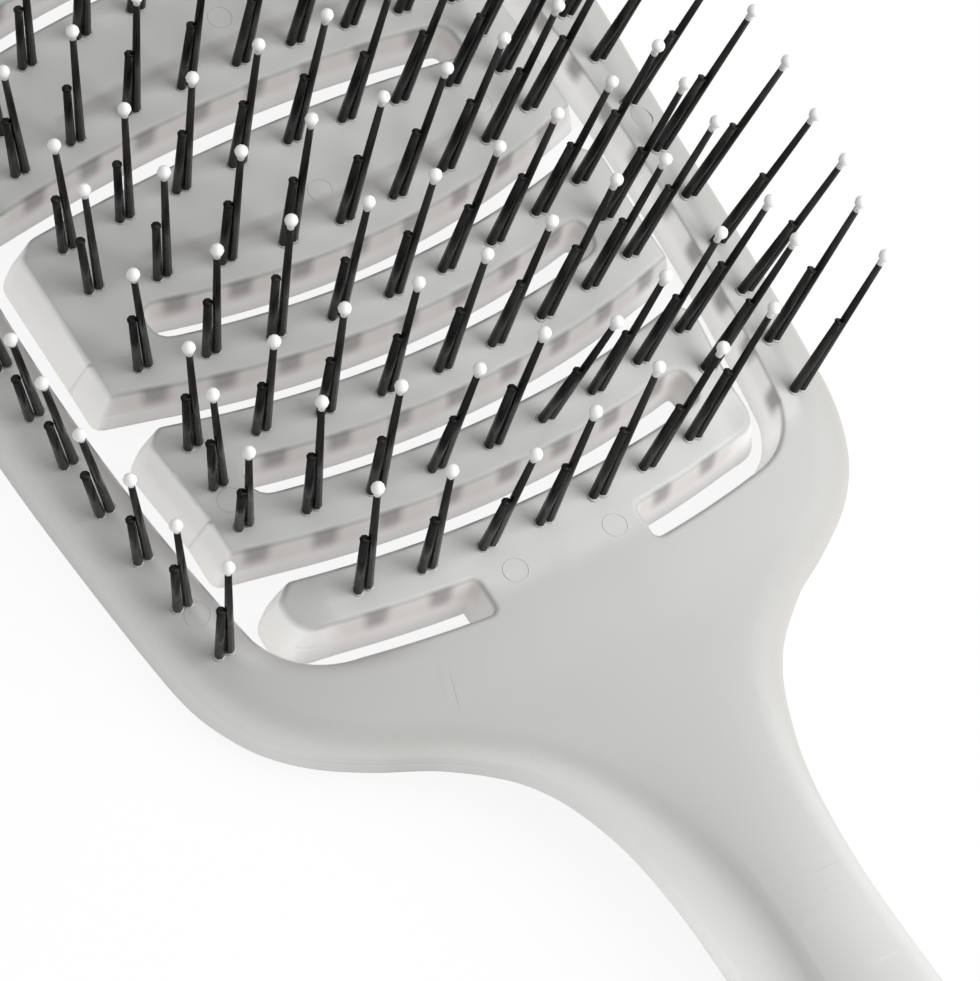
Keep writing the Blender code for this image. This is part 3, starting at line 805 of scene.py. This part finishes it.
def new_socket(tree, name, kind, value=None, in_out="INPUT"):
    socket = tree.interface.new_socket(name, in_out=in_out, socket_type="NodeSocket" + kind)
    if value is not None:
        socket.default_value = value


def new_material(name):
    material = bpy.data.materials.new(name)
    material.use_nodes = True
    return material, material.node_tree, material.node_tree.nodes["Principled BSDF"]


def own_places(tree):
    return add(tree, "ShaderNodeTexCoord").outputs["Object"]


print("a middle grey of 186 is", round(linear(186), 3), "in linear light")

# %% Frosted plastic
# Tones of the plastic. Roll, Outer wall and Shade are painted shade; Wall lit, Outer lit and Flank are
# painted light; Wall dark is partly the pins behind a wall and partly painted shade; the tones of the soft
# lines on the broad bars are a painted shade line and a painted light band.
FROSTED_TONES = {
    "Face": (186, 186, 184), "Face by pins": (205, 205, 203), "Cloud": (182, 181, 179),
    "Roll": (172, 172, 170), "Wall": (196, 194, 193), "Wall dark": (180, 177, 175),
    "Wall lit": (218, 218, 216), "Pin root": (124, 121, 121), "Outer wall": (174, 173, 170),
    "Outer lit": (226, 226, 224), "Shade": (150, 144, 143), "Flank": (220, 220, 219),
    "Line shade": (158, 155, 151), "Band light": (200, 200, 198),
}
CLOUD_SCALE = 60
GRAIN_SCALE = 2600
SPOT_STRENGTH = 0.85
# Painted glow: how much the walls and the handle's flanks glow, and the strength of that emission
WALL_GLOW = 0.8
FLANK_GLOW = 0.6
GLOW_STRENGTH = 0.5
GRAIN_STRENGTH = 0.04
GRAIN_HEIGHT = 0.0001


def frosted_group():
    """A group that gives the colour with its painted light and shade, the painted glow, roughness and grain.
    """
    tree = bpy.data.node_groups.new("Frosted plastic", "ShaderNodeTree")
    for name, value in FROSTED_TONES.items():
        new_socket(tree, name, "Color", tone(*value))
    new_socket(tree, "Shade mask", "Float")
    for name, kind in (("Color", "Color"), ("Glow", "Color"), ("Roughness", "Float"), ("Normal", "Vector")):
        new_socket(tree, name, kind, in_out="OUTPUT")
    given = add(tree, "NodeGroupInput").outputs
    names = ("wall", "outside", "pin_spot", "pin_near", "depth", "light_through", "flank", "groove")
    wall, outside, pin_spot, pin_near, depth, light_through, flank, groove = [
        add(tree, "ShaderNodeAttribute", attribute_name=name).outputs["Fac"] for name in names
    ]
    places = own_places(tree)
    clouds, grain = [
        add(tree, "ShaderNodeTexNoise", {"Scale": scale, "Detail": 2, "Vector": places}).outputs["Fac"]
        for scale in (CLOUD_SCALE, GRAIN_SCALE)
    ]

    def mix(factor, first, second):
        return mix_colour(tree, factor, first, second)

    def times(*values):
        result = values[0]
        for value in values[1:]:
            result = calc(tree, "MULTIPLY", result, value)
        return result

    face = mix(ramp(tree, pin_near, 0, 0.4), given["Face"], given["Face by pins"])
    face = mix(ramp(tree, clouds, 0.35, 0.65, 0, 0.3), face, given["Cloud"])
    # A painted shade line with a painted light band above it, on the broad bars
    face = mix(ramp(tree, times(groove, -1), 0.1, 1, 0, 0.6), face, given["Line shade"])
    face = mix(ramp(tree, groove, 0.1, 0.9, 0, 0.45), face, given["Band light"])
    # Painted shade of the left rim's inner wall
    face = mix(given["Shade mask"], face, given["Shade"])
    # Flank: painted light on the handle's rounded flanks, keeping them about as light as its top
    face = mix(ramp(tree, flank, 0, 1), face, given["Flank"])

    # lit: the painted light on walls and flanks that face left
    lit = ramp(tree, light_through, 0.15, 0.85)
    # Roll: painted shade along the rolled edge between face and wall, left out where the edge faces left
    rolled = times(ramp(tree, wall, 0, 0.5), ramp(tree, wall, 0.5, 1, 1, 0), ramp(tree, lit, 0, 1, 1, 0))
    # Wall dark: near the rows of pins the walls darken. This is partly the pins behind them and partly
    # painted shade, strongest high on the wall and weakest where the wall faces left.
    unlit = ramp(tree, lit, 0, 1, 1, 0.3)
    dark = times(ramp(tree, pin_near, 0.08, 0.35), ramp(tree, depth, 0.3, 0.6, 1, 0.2), unlit)
    plain = mix(dark, mix(lit, given["Wall"], given["Wall lit"]), given["Wall dark"])
    is_wall = ramp(tree, wall, 0.3, 1)
    inner = mix(is_wall, mix(rolled, face, given["Roll"]), plain)
    band = times(ramp(tree, depth, 0.22, 0.55, 1, 0), ramp(tree, wall, 0, 0.6))
    spot = times(ramp(tree, pin_spot, 0.1, 0.5), band, SPOT_STRENGTH)
    inner = mix(spot, inner, given["Pin root"])
    # Outer wall: painted shade on the outer walls, with Outer lit as painted light where they face left
    outer = mix(ramp(tree, wall, 0, 0.55), face, mix(lit, given["Outer wall"], given["Outer lit"]))
    keep = ramp(tree, outside, 0, 1, 1, 0)

    # Painted glow: inner walls glow, most where they face left, and outer flanks that face left glow a little
    inner_glow = calc(tree, "MAXIMUM", lit, times(is_wall, WALL_GLOW))
    outer_glow = times(lit, flank, FLANK_GLOW)
    glow = calc(tree, "MULTIPLY_ADD", calc(tree, "SUBTRACT", inner_glow, outer_glow), keep, outer_glow)
    relief = {"Strength": GRAIN_STRENGTH, "Distance": GRAIN_HEIGHT, "Height": grain}
    bump = add(tree, "ShaderNodeBump", relief)
    colour = mix(keep, outer, inner)
    add(tree, "NodeGroupOutput", {
        "Color": colour, "Glow": mix(glow, (0, 0, 0, 1), colour),
        "Roughness": ramp(tree, grain, 0.3, 0.7, 0.42, 0.54), "Normal": bump.outputs["Normal"],
    })
    return tree


FROSTED = frosted_group()
print("the plastic group has", len(FROSTED.nodes), "nodes")

# %% [markdown]
# ## The rim's inner wall, seen through its face
# On the left, where the rim's inner wall faces away from the light, its shade is painted on the frosted face
# as a soft darker band. It follows the inner edge of the rim, so its mask is worked out from the same sizes.

# %% Frosted materials
SHADE_BLEND = 0.012
SHADE_WIDTH = (0.0003, 0.0026)
SHADE_EDGE = (-0.0008, -0.0003)
SHADE_END = (-0.022, -0.014)
SHADE_STRENGTH = 0.75


def inner_shade(tree):
    """A mask along the left rim's inner edge, for the painted shade there."""
    axes = add(tree, "ShaderNodeSeparateXYZ", {0: own_places(tree)}).outputs
    along_y = calc(tree, "SUBTRACT", axes["Y"], PAD_CENTRE_Y)
    share = calc(tree, "DIVIDE", along_y, PAD_HALF_LENGTH)
    taper = calc(tree, "MULTIPLY", calc(tree, "MULTIPLY", share, share), PAD_TAPER)
    beside = calc(tree, "SUBTRACT", calc(tree, "ABSOLUTE", axes["X"]), PAD_HALF_WIDTH + RIM_GAP)
    beside = calc(tree, "ADD", beside, taper)
    reach = calc(tree, "DIVIDE", axes["X"], COLUMN_REACH * PIN_PITCH)
    sag = calc(tree, "MULTIPLY", calc(tree, "MULTIPLY", reach, reach), LOWER_SAG[1])
    below = calc(tree, "SUBTRACT", calc(tree, "SUBTRACT", sag, BELOW_REACH), along_y)
    distance = calc(tree, "SMOOTH_MAX", beside, below, SHADE_BLEND)
    mask = calc(tree, "MULTIPLY", ramp(tree, distance, *SHADE_WIDTH, 1, 0), ramp(tree, distance, *SHADE_EDGE))
    return calc(tree, "MULTIPLY", mask, ramp(tree, axes["X"], *SHADE_END, SHADE_STRENGTH, 0))


def frosted_material(name, shaded=False):
    material, tree, shader = new_material(name)
    shade = {"Shade mask": inner_shade(tree)} if shaded else {}
    plastic = add(tree, "ShaderNodeGroup", shade, node_tree=FROSTED).outputs
    # The group's painted glow goes out as emission
    fill(tree, shader, {
        "Base Color": plastic["Color"], "Roughness": plastic["Roughness"], "Normal": plastic["Normal"],
        "Emission Color": plastic["Glow"], "Emission Strength": GLOW_STRENGTH, "Specular IOR Level": 0.3,
    })
    return material


FRAME_LOOK = frosted_material("frosted_frame", shaded=True)
print("the frame's material has", len(FRAME_LOOK.node_tree.nodes), "nodes")

# %% [markdown]
# ## The frame
# The frame carries everything: rim, neck and handle in one, in a front and a back shell that are welded
# together on the real brush. The rim's outer edge is rolled over broadly, because the hand slides along it,
# and the edge round the pad is only just broken.

# %% Frame shells
GRID = 0.002
LONG_GRID = 0.004
SPLIT = 0.000001
FRONT_FLOOR = PARTING + SPLIT
BACK_DEPTH = HEAD_DEPTH + PARTING - SPLIT
BAR_BACK_DEPTH = BAR_DEPTH + PARTING - SPLIT
TOP_INSET = 0.00035
BASE_REACH = 0.00045
MIDDLE_INSET = TOP_INSET - (TOP_INSET + BASE_REACH) * -PARTING / BAR_DEPTH
FRONT_WALLS = (TOP_INSET, MIDDLE_INSET)
BACK_WALLS = (-BASE_REACH, MIDDLE_INSET)
FRONT_RIM = roll_profile((0.0036, 0.0015), 0.0006, -PARTING - SPLIT, 7)
FRONT_PAD = roll_profile((0.0006, 0.0006), 0.0002, -PARTING - SPLIT, 4, FRONT_WALLS)
BACK_RIM = roll_profile((0.0016, 0.0012), 0.0006, BACK_DEPTH, 5)
BACK_PAD = roll_profile((0.0005, 0.0005), 0.0005, BACK_DEPTH, 3, BACK_WALLS)
BACK_BAR = roll_profile((0.0005, 0.0005), 0.0004, BAR_BACK_DEPTH, 3, BACK_WALLS)


def frame_shell(name, node, material, rim, pad, top, sign, floor):
    """One shell of the frame, from its face at top to the plane where it meets the other shell."""
    shell = Shell()
    shell.edge(outline, 1, rim, top, sign, 1)
    shell.edge(opening, -1, pad, top, sign)
    shell.close(top, floor)
    shell.cut(-HEAD_HALF_WIDTH, HEAD_HALF_WIDTH, GRID, 0)
    shell.cut(-NECK_REACH, -SWELL_START, GRID, 1, -SWELL_START)
    shell.cut(-HANDLE_END, -NECK_REACH, LONG_GRID, 1, -NECK_REACH)
    piece = shell.finish(name, material)
    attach(piece, "frame")
    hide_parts(node)
    print(name, len(piece.data.polygons), "faces")


frame_shell("frame_front_shell", "front_frame", FRAME_LOOK, FRONT_RIM, FRONT_PAD, 0, -1, FRONT_FLOOR)
BACK_LOOK = frosted_material("frosted_back")
BACK_FLOOR = -HEAD_DEPTH + BACK_DEPTH
frame_shell("frame_back_shell", "back_cover", BACK_LOOK, BACK_RIM, BACK_PAD, -HEAD_DEPTH, 1, BACK_FLOOR)

# %% [markdown]
# ## The moving bars
# Bars 2 to 8 give under the pins. Each is a front shell and a back plate, and its web meets the bar before
# it. No edge is rolled along a seam, so that the band looks like one moulding.

# %% Bar shells
ROW_GRID = 0.0008
BEND_TILT = 0.35
BEND_START = 0.0006
BEND_END = 0.0036
BAR_SIDES = (
    ("front", "shell", "", FRONT_PAD, 0, -1, FRONT_FLOOR),
    ("back", "plate", "_back", BACK_BAR, -BAR_DEPTH, 1, -BAR_DEPTH + BAR_BACK_DEPTH),
)


def web_bend(bar):
    """The start and end of a stretch of a bar's web, just past its seam with the bar before it."""
    side = web_side(bar)
    x = 0 if bar == FULL_WEB_BAR else side * (web_inner(bar) + bar_end(bar)) / 2
    seam = Vector((x, bar_high(bar - 1, x) - WEB_NOTCH))
    way = Vector((-BEND_TILT * side if bar <= LENS_BAR else 0, 1)).normalized()
    start, end = seam + way * BEND_START, seam + way * BEND_END
    first, last = to_world(start.x, start.y, 0), to_world(end.x, end.y, 0)
    last.z = first.z
    return first, last


for bar in range(2, BAR_COUNT):
    points = bar_outline(bar)
    start, end = web_bend(bar)
    for word, form, suffix, profile, top, sign, floor in BAR_SIDES:
        shell = Shell()
        shell.edge(points, 1, profile, top, sign)
        shell.close(top, floor)
        shell.cut(-PAD_HALF_WIDTH, PAD_HALF_WIDTH, GRID, 0)
        if word == "front" and bar in (LENS_BAR, FULL_WEB_BAR - 1, FULL_WEB_BAR):
            heights = [place.y for place, _ in points]
            shell.cut(min(heights), max(heights), ROW_GRID, 1)
        piece = shell.finish(f"bar_{bar}_{word}_{form}", frosted_material(f"frosted_bar_{bar}{suffix}"))
        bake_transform(piece)
        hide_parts(f"bar_{bar}_{word}")
print("made", 2 * (BAR_COUNT - 2), "pieces for the moving bars")

# %% [markdown]
# ## The twin pins
# Each place on the pad holds two pins of smoky nylon: a long one with a white ball, and a short one without.
# They are drawn once, in a Geometry Nodes tree, and set on every place with a slightly different lean, as
# real pins have after a little use. A low collar closes the hole round each foot.

# %% Pin materials
def speckled(name, scale, dark, light, limits=(0.3, 0.7), stretch=(1, 1, 1)):
    """A material whose colour changes between two tones in fine noise."""
    material, tree, shader = new_material(name)
    places = add(tree, "ShaderNodeMapping", {"Vector": own_places(tree), "Scale": stretch}).outputs["Vector"]
    noise = add(tree, "ShaderNodeTexNoise", {"Scale": scale, "Vector": places}).outputs["Fac"]
    colour = mix_colour(tree, ramp(tree, noise, *limits), tone(*dark), tone(*light))
    fill(tree, shader, {"Base Color": colour})
    return material, tree, shader, noise


PIN_LOOK, tree, shader, streaks = speckled(
    "smoky_nylon", 900, (16, 16, 15), (40, 39, 37), limits=(0.4, 0.7), stretch=(1, 1, 0.08)
)
fill(tree, shader, {
    "Roughness": ramp(tree, streaks, 0.35, 0.7, 0.22, 0.38), "Specular IOR Level": 0.15,
    "Coat Weight": 0.05, "Coat Roughness": 0.15,
})
BALL_LOOK, tree, shader, spots = speckled("white_ball_tip", 700, (230, 230, 229), (240, 240, 239))
fill(tree, shader, {"Roughness": ramp(tree, spots, 0.3, 0.7, 0.28, 0.4)})
COLLAR_LOOK, tree, shader, spots = speckled("pin_collar", 1500, (150, 150, 148), (176, 176, 173))
fill(tree, shader, {"Roughness": 0.3})
print("materials:", PIN_LOOK.name, BALL_LOOK.name, COLLAR_LOOK.name)

# %% Pin tree
PIN_SIZES = {
    "Long length": 0.0204, "Short length": 0.0104, "Root sink": 0.001, "Root radius": 0.00052,
    "Tip radius": 0.00034, "Short tip radius": 0.00042, "Neck length": 0.0016, "Neck radius": 0.00036,
    "Ball radius": 0.00067, "Ball drop": 0.0004, "Collar radius": 0.00078, "Collar height": 0.00012,
    "Lean": 0.012,
}
SHAFT_SIDES = 8
COLLAR_SIDES = 10


def twin_pin_tree():
    """Sets a pin on every point: a long ball-tipped one where the point is marked long, else a short one."""
    tree = bpy.data.node_groups.new("Twin pins", "GeometryNodeTree")
    new_socket(tree, "Geometry", "Geometry")
    for name, value in PIN_SIZES.items():
        new_socket(tree, name, "Float", value)
    new_socket(tree, "Seed", "Int", 4)
    for name in ("Pin material", "Ball material", "Collar material"):
        new_socket(tree, name, "Material")
    new_socket(tree, "Geometry", "Geometry", in_out="OUTPUT")
    given = add(tree, "NodeGroupInput").outputs

    def lifted(geometry, height):
        move = add(tree, "ShaderNodeCombineXYZ", {"Z": height}).outputs[0]
        inputs = {"Geometry": geometry, "Translation": move}
        return add(tree, "GeometryNodeTransform", inputs).outputs["Geometry"]

    def cone(sides, bottom, top, length, base):
        """A tapered rod from the height base upward."""
        sizes = {"Vertices": sides, "Radius Top": top, "Radius Bottom": bottom, "Depth": length}
        return lifted(add(tree, "GeometryNodeMeshCone", sizes, fill_type="NGON").outputs["Mesh"], base)

    def dress(geometry, material):
        smooth = add(tree, "GeometryNodeSetShadeSmooth", {"Geometry": geometry}).outputs["Geometry"]
        paint = add(tree, "GeometryNodeSetMaterial", {"Geometry": smooth, "Material": given[material]})
        return paint.outputs["Geometry"]

    def join(*parts):
        node = add(tree, "GeometryNodeJoinGeometry")
        for part in reversed(parts):
            tree.links.new(part, node.inputs["Geometry"])
        return node.outputs["Geometry"]

    def marked(name, kind):
        return add(tree, "GeometryNodeInputNamedAttribute", {"Name": name}, data_type=kind).outputs[0]

    root, sink = given["Root radius"], given["Root sink"]
    sunk = calc(tree, "MULTIPLY", sink, -1)
    shaft_end = calc(tree, "SUBTRACT", given["Long length"], given["Neck length"])
    shaft = cone(SHAFT_SIDES, root, given["Tip radius"], calc(tree, "ADD", shaft_end, sink), sunk)
    neck = cone(SHAFT_SIDES, given["Neck radius"], given["Neck radius"], given["Neck length"], shaft_end)
    sizes = {"Segments": 10, "Rings": 6, "Radius": given["Ball radius"]}
    sphere = add(tree, "GeometryNodeMeshUVSphere", sizes).outputs["Mesh"]
    ball = lifted(sphere, calc(tree, "SUBTRACT", given["Long length"], given["Ball drop"]))
    collar_base = calc(tree, "MULTIPLY", given["Collar height"], -1)
    collar_depth = calc(tree, "MULTIPLY", given["Collar height"], 2)
    collar = cone(COLLAR_SIDES, given["Collar radius"], root, collar_depth, collar_base)
    long_pin = join(
        dress(shaft, "Pin material"), dress(neck, "Ball material"),
        dress(ball, "Ball material"), dress(collar, "Collar material"),
    )
    stub_length = calc(tree, "ADD", given["Short length"], sink)
    stub = cone(SHAFT_SIDES, root, given["Short tip radius"], stub_length, sunk)
    lip = cone(SHAFT_SIDES, given["Short tip radius"], root, given["Collar height"], given["Short length"])
    short_pin = join(
        dress(stub, "Pin material"), dress(lip, "Pin material"), dress(collar, "Collar material"),
    )

    bounds = {"Min": (-1, -1, 0), "Max": (1, 1, 0), "Seed": given["Seed"]}
    wobble = add(tree, "FunctionNodeRandomValue", bounds, data_type="FLOAT_VECTOR").outputs[0]
    sizes = {0: wobble, "Scale": given["Lean"]}
    scaled = add(tree, "ShaderNodeVectorMath", sizes, operation="SCALE").outputs[0]
    lean = marked("lean", "FLOAT_VECTOR")
    way = add(tree, "ShaderNodeVectorMath", {0: lean, 1: scaled}, operation="ADD").outputs[0]
    turn = add(tree, "FunctionNodeAlignRotationToVector", {"Vector": way}, axis="Z").outputs[0]
    is_long = marked("is_long", "BOOLEAN")
    is_short = add(tree, "FunctionNodeBooleanMath", {0: is_long}, operation="NOT").outputs[0]
    sets = []
    for pin, chosen in ((long_pin, is_long), (short_pin, is_short)):
        inputs = {"Points": given["Geometry"], "Selection": chosen, "Instance": pin, "Rotation": turn}
        sets.append(add(tree, "GeometryNodeInstanceOnPoints", inputs).outputs["Instances"])
    real = add(tree, "GeometryNodeRealizeInstances", {"Geometry": join(*sets)}).outputs["Geometry"]
    add(tree, "NodeGroupOutput", {"Geometry": real})
    return tree


def grown(name, points, marks, tree, inputs):
    """A tree grown on marked points, as a plain mesh object."""
    data = bpy.data.meshes.new(name + "_points")
    data.from_pydata(points, [], [])
    for word, kind, field, values in marks:
        data.attributes.new(word, kind, "POINT").data.foreach_set(field, values)
    seedbed = put_in_scene(name + "_points", data)
    modifier = seedbed.modifiers.new("tree", "NODES")
    modifier.node_group = tree
    sockets = {item.name: item.identifier for item in tree.interface.items_tree if item.in_out == "INPUT"}
    for word, value in inputs.items():
        modifier[sockets[word]] = value
    graph = bpy.context.evaluated_depsgraph_get()
    result = bpy.data.meshes.new_from_object(seedbed.evaluated_get(graph))
    result.name = name
    bpy.data.objects.remove(seedbed)
    return put_in_scene(name, result)


TWIN_PINS = twin_pin_tree()
print("the pin tree has", len(TWIN_PINS.nodes), "nodes")

# %% Set the pins
TWIN_HALF_SPACING = 0.00053
SHORT_CLOSING = 0.024
RIM_SEED = 20
OUTWARD_LEAN = (1.5, 0.7)
FAR_LEAN = (-0.33, 0.67)
FAR_LEAN_LIMIT = 0.005
MIDDLE_LEAN = 0.024
# Pins that lean more than their neighbours, by their place in the set, from the left or from the handle
BENT_PINS = {
    "bar_1_pins": {0: (0.02, 0.05), 2: (0, -0.08), 4: (0.03, 0.07), 6: (0, 0.03)},
    "bar_2_pins": {0: (-0.01, -0.09), 1: (0.03, 0.05), 3: (0, -0.06), 5: (-0.02, -0.12), 6: (-0.03, -0.04)},
    "bar_3_pins": {0: (0.03, 0.03), 1: (0, -0.05), 6: (0.06, 0.04)},
    "bar_4_pins": {2: (0.01, 0.04)},
    "bar_5_pins": {3: (0, 0.03)},
    "left_rim_pins": {0: (0.11, 0), 1: (0.07, -0.01), 2: (0.05, 0), 5: (0.02, -0.05)},
    "right_rim_pins": {0: (-0.06, 0.05), 1: (-0.05, 0.06), 3: (-0.02, -0.03), 5: (0, 0.02)},
}


def lean_of(x, y):
    """How far a used pin leans: square to the arch, and a little more outward and toward the far end."""
    across = lean_at(x) + OUTWARD_LEAN[0] * x + FAR_LEAN[0] * y
    return across, MIDDLE_LEAN + OUTWARD_LEAN[1] * x + FAR_LEAN[1] * min(y, FAR_LEAN_LIMIT)


def make_pins(name, places, seed, body, node):
    """The pins of one body as one piece."""
    feet, leans, longs = [], [], []
    for i, (x, y) in enumerate(places):
        bent = BENT_PINS.get(node, {}).get(i, (0, 0))
        for sign in (-1, 1):
            at = x + sign * TWIN_HALF_SPACING
            closing = SHORT_CLOSING if sign < 0 else 0
            lean_x, lean_y = lean_of(at, y)
            feet.append(to_world(at, y, 0))
            leans += [lean_x + bent[0] + closing, lean_y + bent[1], 1]
            longs.append(sign > 0)
    marks = (("lean", "FLOAT_VECTOR", "vector", leans), ("is_long", "BOOLEAN", "value", longs))
    looks = {"Pin material": PIN_LOOK, "Ball material": BALL_LOOK, "Collar material": COLLAR_LOOK}
    piece = grown(name, feet, marks, TWIN_PINS, {"Seed": seed, **looks})
    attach(piece, body)
    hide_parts(node)
    return len(piece.data.polygons)


faces = 0
for bar in range(1, BAR_COUNT + 1):
    body = "frame" if bar in (1, BAR_COUNT) else f"bar_{bar}"
    faces += make_pins(f"bar_{bar}_twin_pins", bar_pins(bar), bar, body, f"bar_{bar}_pins")
for side, word in ((-1, "left"), (1, "right")):
    faces += make_pins(f"{word}_rim_twin_pins", rim_pins(side), RIM_SEED + side, "frame", f"{word}_rim_pins")
print("pins:", faces, "faces in", BAR_COUNT + 2, "pieces")

# %% [markdown]
# ## Ring marks
# A few faint rings show on the faces where the pins of the mould pushed the plastic out. Each is a very low
# ring, half sunk in the face. A small Geometry Nodes tree sets them on points that carry the face's normal.

# %% Ring marks
RING_PLACES = {
    "frame": ((0.006, -0.0457), (-0.0053, -0.0456), (-0.0332, -0.0348), (0.0368, -0.005)),
    "bar_2": ((-0.025, -0.0263),),
    "bar_5": ((-0.0005, -0.0012), (0.0204, 0.0017)),
    "bar_7": ((0.0008, 0.0207),),
}
RING_RADIUS = 0.00125
RING_LINE_RADIUS = 0.00006
RING_SINK = 0.00003


def ring_tree():
    tree = bpy.data.node_groups.new("Ring marks", "GeometryNodeTree")
    new_socket(tree, "Geometry", "Geometry")
    new_socket(tree, "Ring radius", "Float", RING_RADIUS)
    new_socket(tree, "Line radius", "Float", RING_LINE_RADIUS)
    new_socket(tree, "Material", "Material")
    new_socket(tree, "Geometry", "Geometry", in_out="OUTPUT")
    given = add(tree, "NodeGroupInput").outputs

    def circle(steps, radius):
        sizes = {"Resolution": steps, "Radius": given[radius]}
        return add(tree, "GeometryNodeCurvePrimitiveCircle", sizes).outputs["Curve"]

    ring, line = circle(32, "Ring radius"), circle(6, "Line radius")
    sweep = add(tree, "GeometryNodeCurveToMesh", {"Curve": ring, "Profile Curve": line}).outputs["Mesh"]
    up = add(tree, "GeometryNodeInputNamedAttribute", {"Name": "up"}, data_type="FLOAT_VECTOR").outputs[0]
    turn = add(tree, "FunctionNodeAlignRotationToVector", {"Vector": up}, axis="Z").outputs[0]
    inputs = {"Points": given["Geometry"], "Instance": sweep, "Rotation": turn}
    place = add(tree, "GeometryNodeInstanceOnPoints", inputs).outputs["Instances"]
    real = add(tree, "GeometryNodeRealizeInstances", {"Geometry": place}).outputs["Geometry"]
    paint = add(tree, "GeometryNodeSetMaterial", {"Geometry": real, "Material": given["Material"]})
    add(tree, "NodeGroupOutput", {"Geometry": paint.outputs["Geometry"]})
    return tree


RING_TREE = ring_tree()
for body, places in RING_PLACES.items():
    spots = [to_world(x, y, -RING_SINK) for x, y in places]
    marks = [("up", "FLOAT_VECTOR", "vector", [v for x, _ in places for v in (lean_at(x), 0, 1)])]
    look = frosted_material(f"frosted_rings_{body}")
    rings = grown(f"{body}_ring_marks", spots, marks, RING_TREE, {"Material": look})
    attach(rings, body)
    print(rings.name, len(rings.data.polygons), "faces")

# %% [markdown]
# ## The studio
# The photograph shows the brush on plain white, under broad, soft light from the right. A pale floor keeps a
# faint shadow. The camera was fitted to the grid of pins in the photograph: it looks down steeply from the
# handle's left.

# %% Floor
FLOOR_HALF_SIZE = 3
FLOOR_WHITE = 0.9


def direct_rays(tree):
    """1 for the rays that show the background: from the camera, or by way of a gloss or a clear surface."""
    path = add(tree, "ShaderNodeLightPath").outputs
    seen = calc(tree, "MAXIMUM", path["Is Camera Ray"], path["Is Glossy Ray"])
    return calc(tree, "MAXIMUM", seen, path["Is Transmission Ray"])


floor_look, tree, shader, _ = speckled("pale_floor", 40, (240, 240, 240), (243, 243, 243))
fill(tree, shader, {"Roughness": 0.9, "Specular IOR Level": 0})
white = add(tree, "ShaderNodeEmission").outputs[0]
share = calc(tree, "MULTIPLY", direct_rays(tree), FLOOR_WHITE)
blend = add(tree, "ShaderNodeMixShader", {0: share, 1: shader.outputs[0], 2: white}).outputs[0]
fill(tree, tree.nodes["Material Output"], {"Surface": blend})
floor_data = bpy.data.meshes.new("floor")
corners = [(x * FLOOR_HALF_SIZE, y * FLOOR_HALF_SIZE, 0) for x, y in ((-1, -1), (1, -1), (1, 1), (-1, 1))]
floor_data.from_pydata(corners, [], [(0, 1, 2, 3)])
floor_data.materials.append(floor_look)
floor = put_in_scene("floor", floor_data)
print("floor made")

# %% Light
SKY = 0.6
LAMP_PLACE = Vector((0.21, -0.15, 0.24))
LAMP_SIZE = 0.36
LAMP_POWER = 1.42

world = bpy.data.worlds.new("studio")
world.use_nodes = True
bpy.context.scene.world = world
tree = world.node_tree
sky = mix_colour(tree, direct_rays(tree), (SKY, SKY, SKY, 1), (1, 1, 1, 1))
fill(tree, tree.nodes["Background"], {"Strength": 1, "Color": sky})
lamp = bpy.data.lights.new("key", "AREA")
lamp.shape = "DISK"
lamp.size = LAMP_SIZE
lamp.energy = LAMP_POWER
key = put_in_scene("key", lamp)
key.location = LAMP_PLACE
key.rotation_euler = (-LAMP_PLACE).to_track_quat("-Z", "Y").to_euler()
print("lamps:", key.name)

# %% Camera
IMAGE_SIZE = (980, 981)
FOCAL_PIXELS = 4500
CENTRE_PIXEL = (479.53, 483.84)
SENSOR_WIDTH = 36
CAMERA_PLACE = (-0.17424, -0.12099, 0.37453)
RIGHT = Vector((0.83451, -0.51822, 0.18721))
DOWN = Vector((-0.37913, -0.78659, -0.48738))
VIEW = Vector((0.39983, 0.33574, -0.85289))

camera_data = bpy.data.cameras.new("camera")
camera_data.sensor_fit = "HORIZONTAL"
camera_data.sensor_width = SENSOR_WIDTH
camera_data.lens = SENSOR_WIDTH * FOCAL_PIXELS / IMAGE_SIZE[0]
camera_data.shift_x = (IMAGE_SIZE[0] / 2 - CENTRE_PIXEL[0]) / IMAGE_SIZE[0]
camera_data.shift_y = (CENTRE_PIXEL[1] - IMAGE_SIZE[1] / 2) / IMAGE_SIZE[0]
camera_data.clip_start = 0.01
camera_data.clip_end = 20
camera = put_in_scene("camera", camera_data)
turn = Matrix((RIGHT, -DOWN, -VIEW)).transposed().to_4x4()
camera.matrix_world = Matrix.Translation(CAMERA_PLACE) @ turn
bpy.context.scene.camera = camera
bpy.context.scene.view_settings.view_transform = "Standard"
print("camera at", [round(v, 3) for v in camera.location])
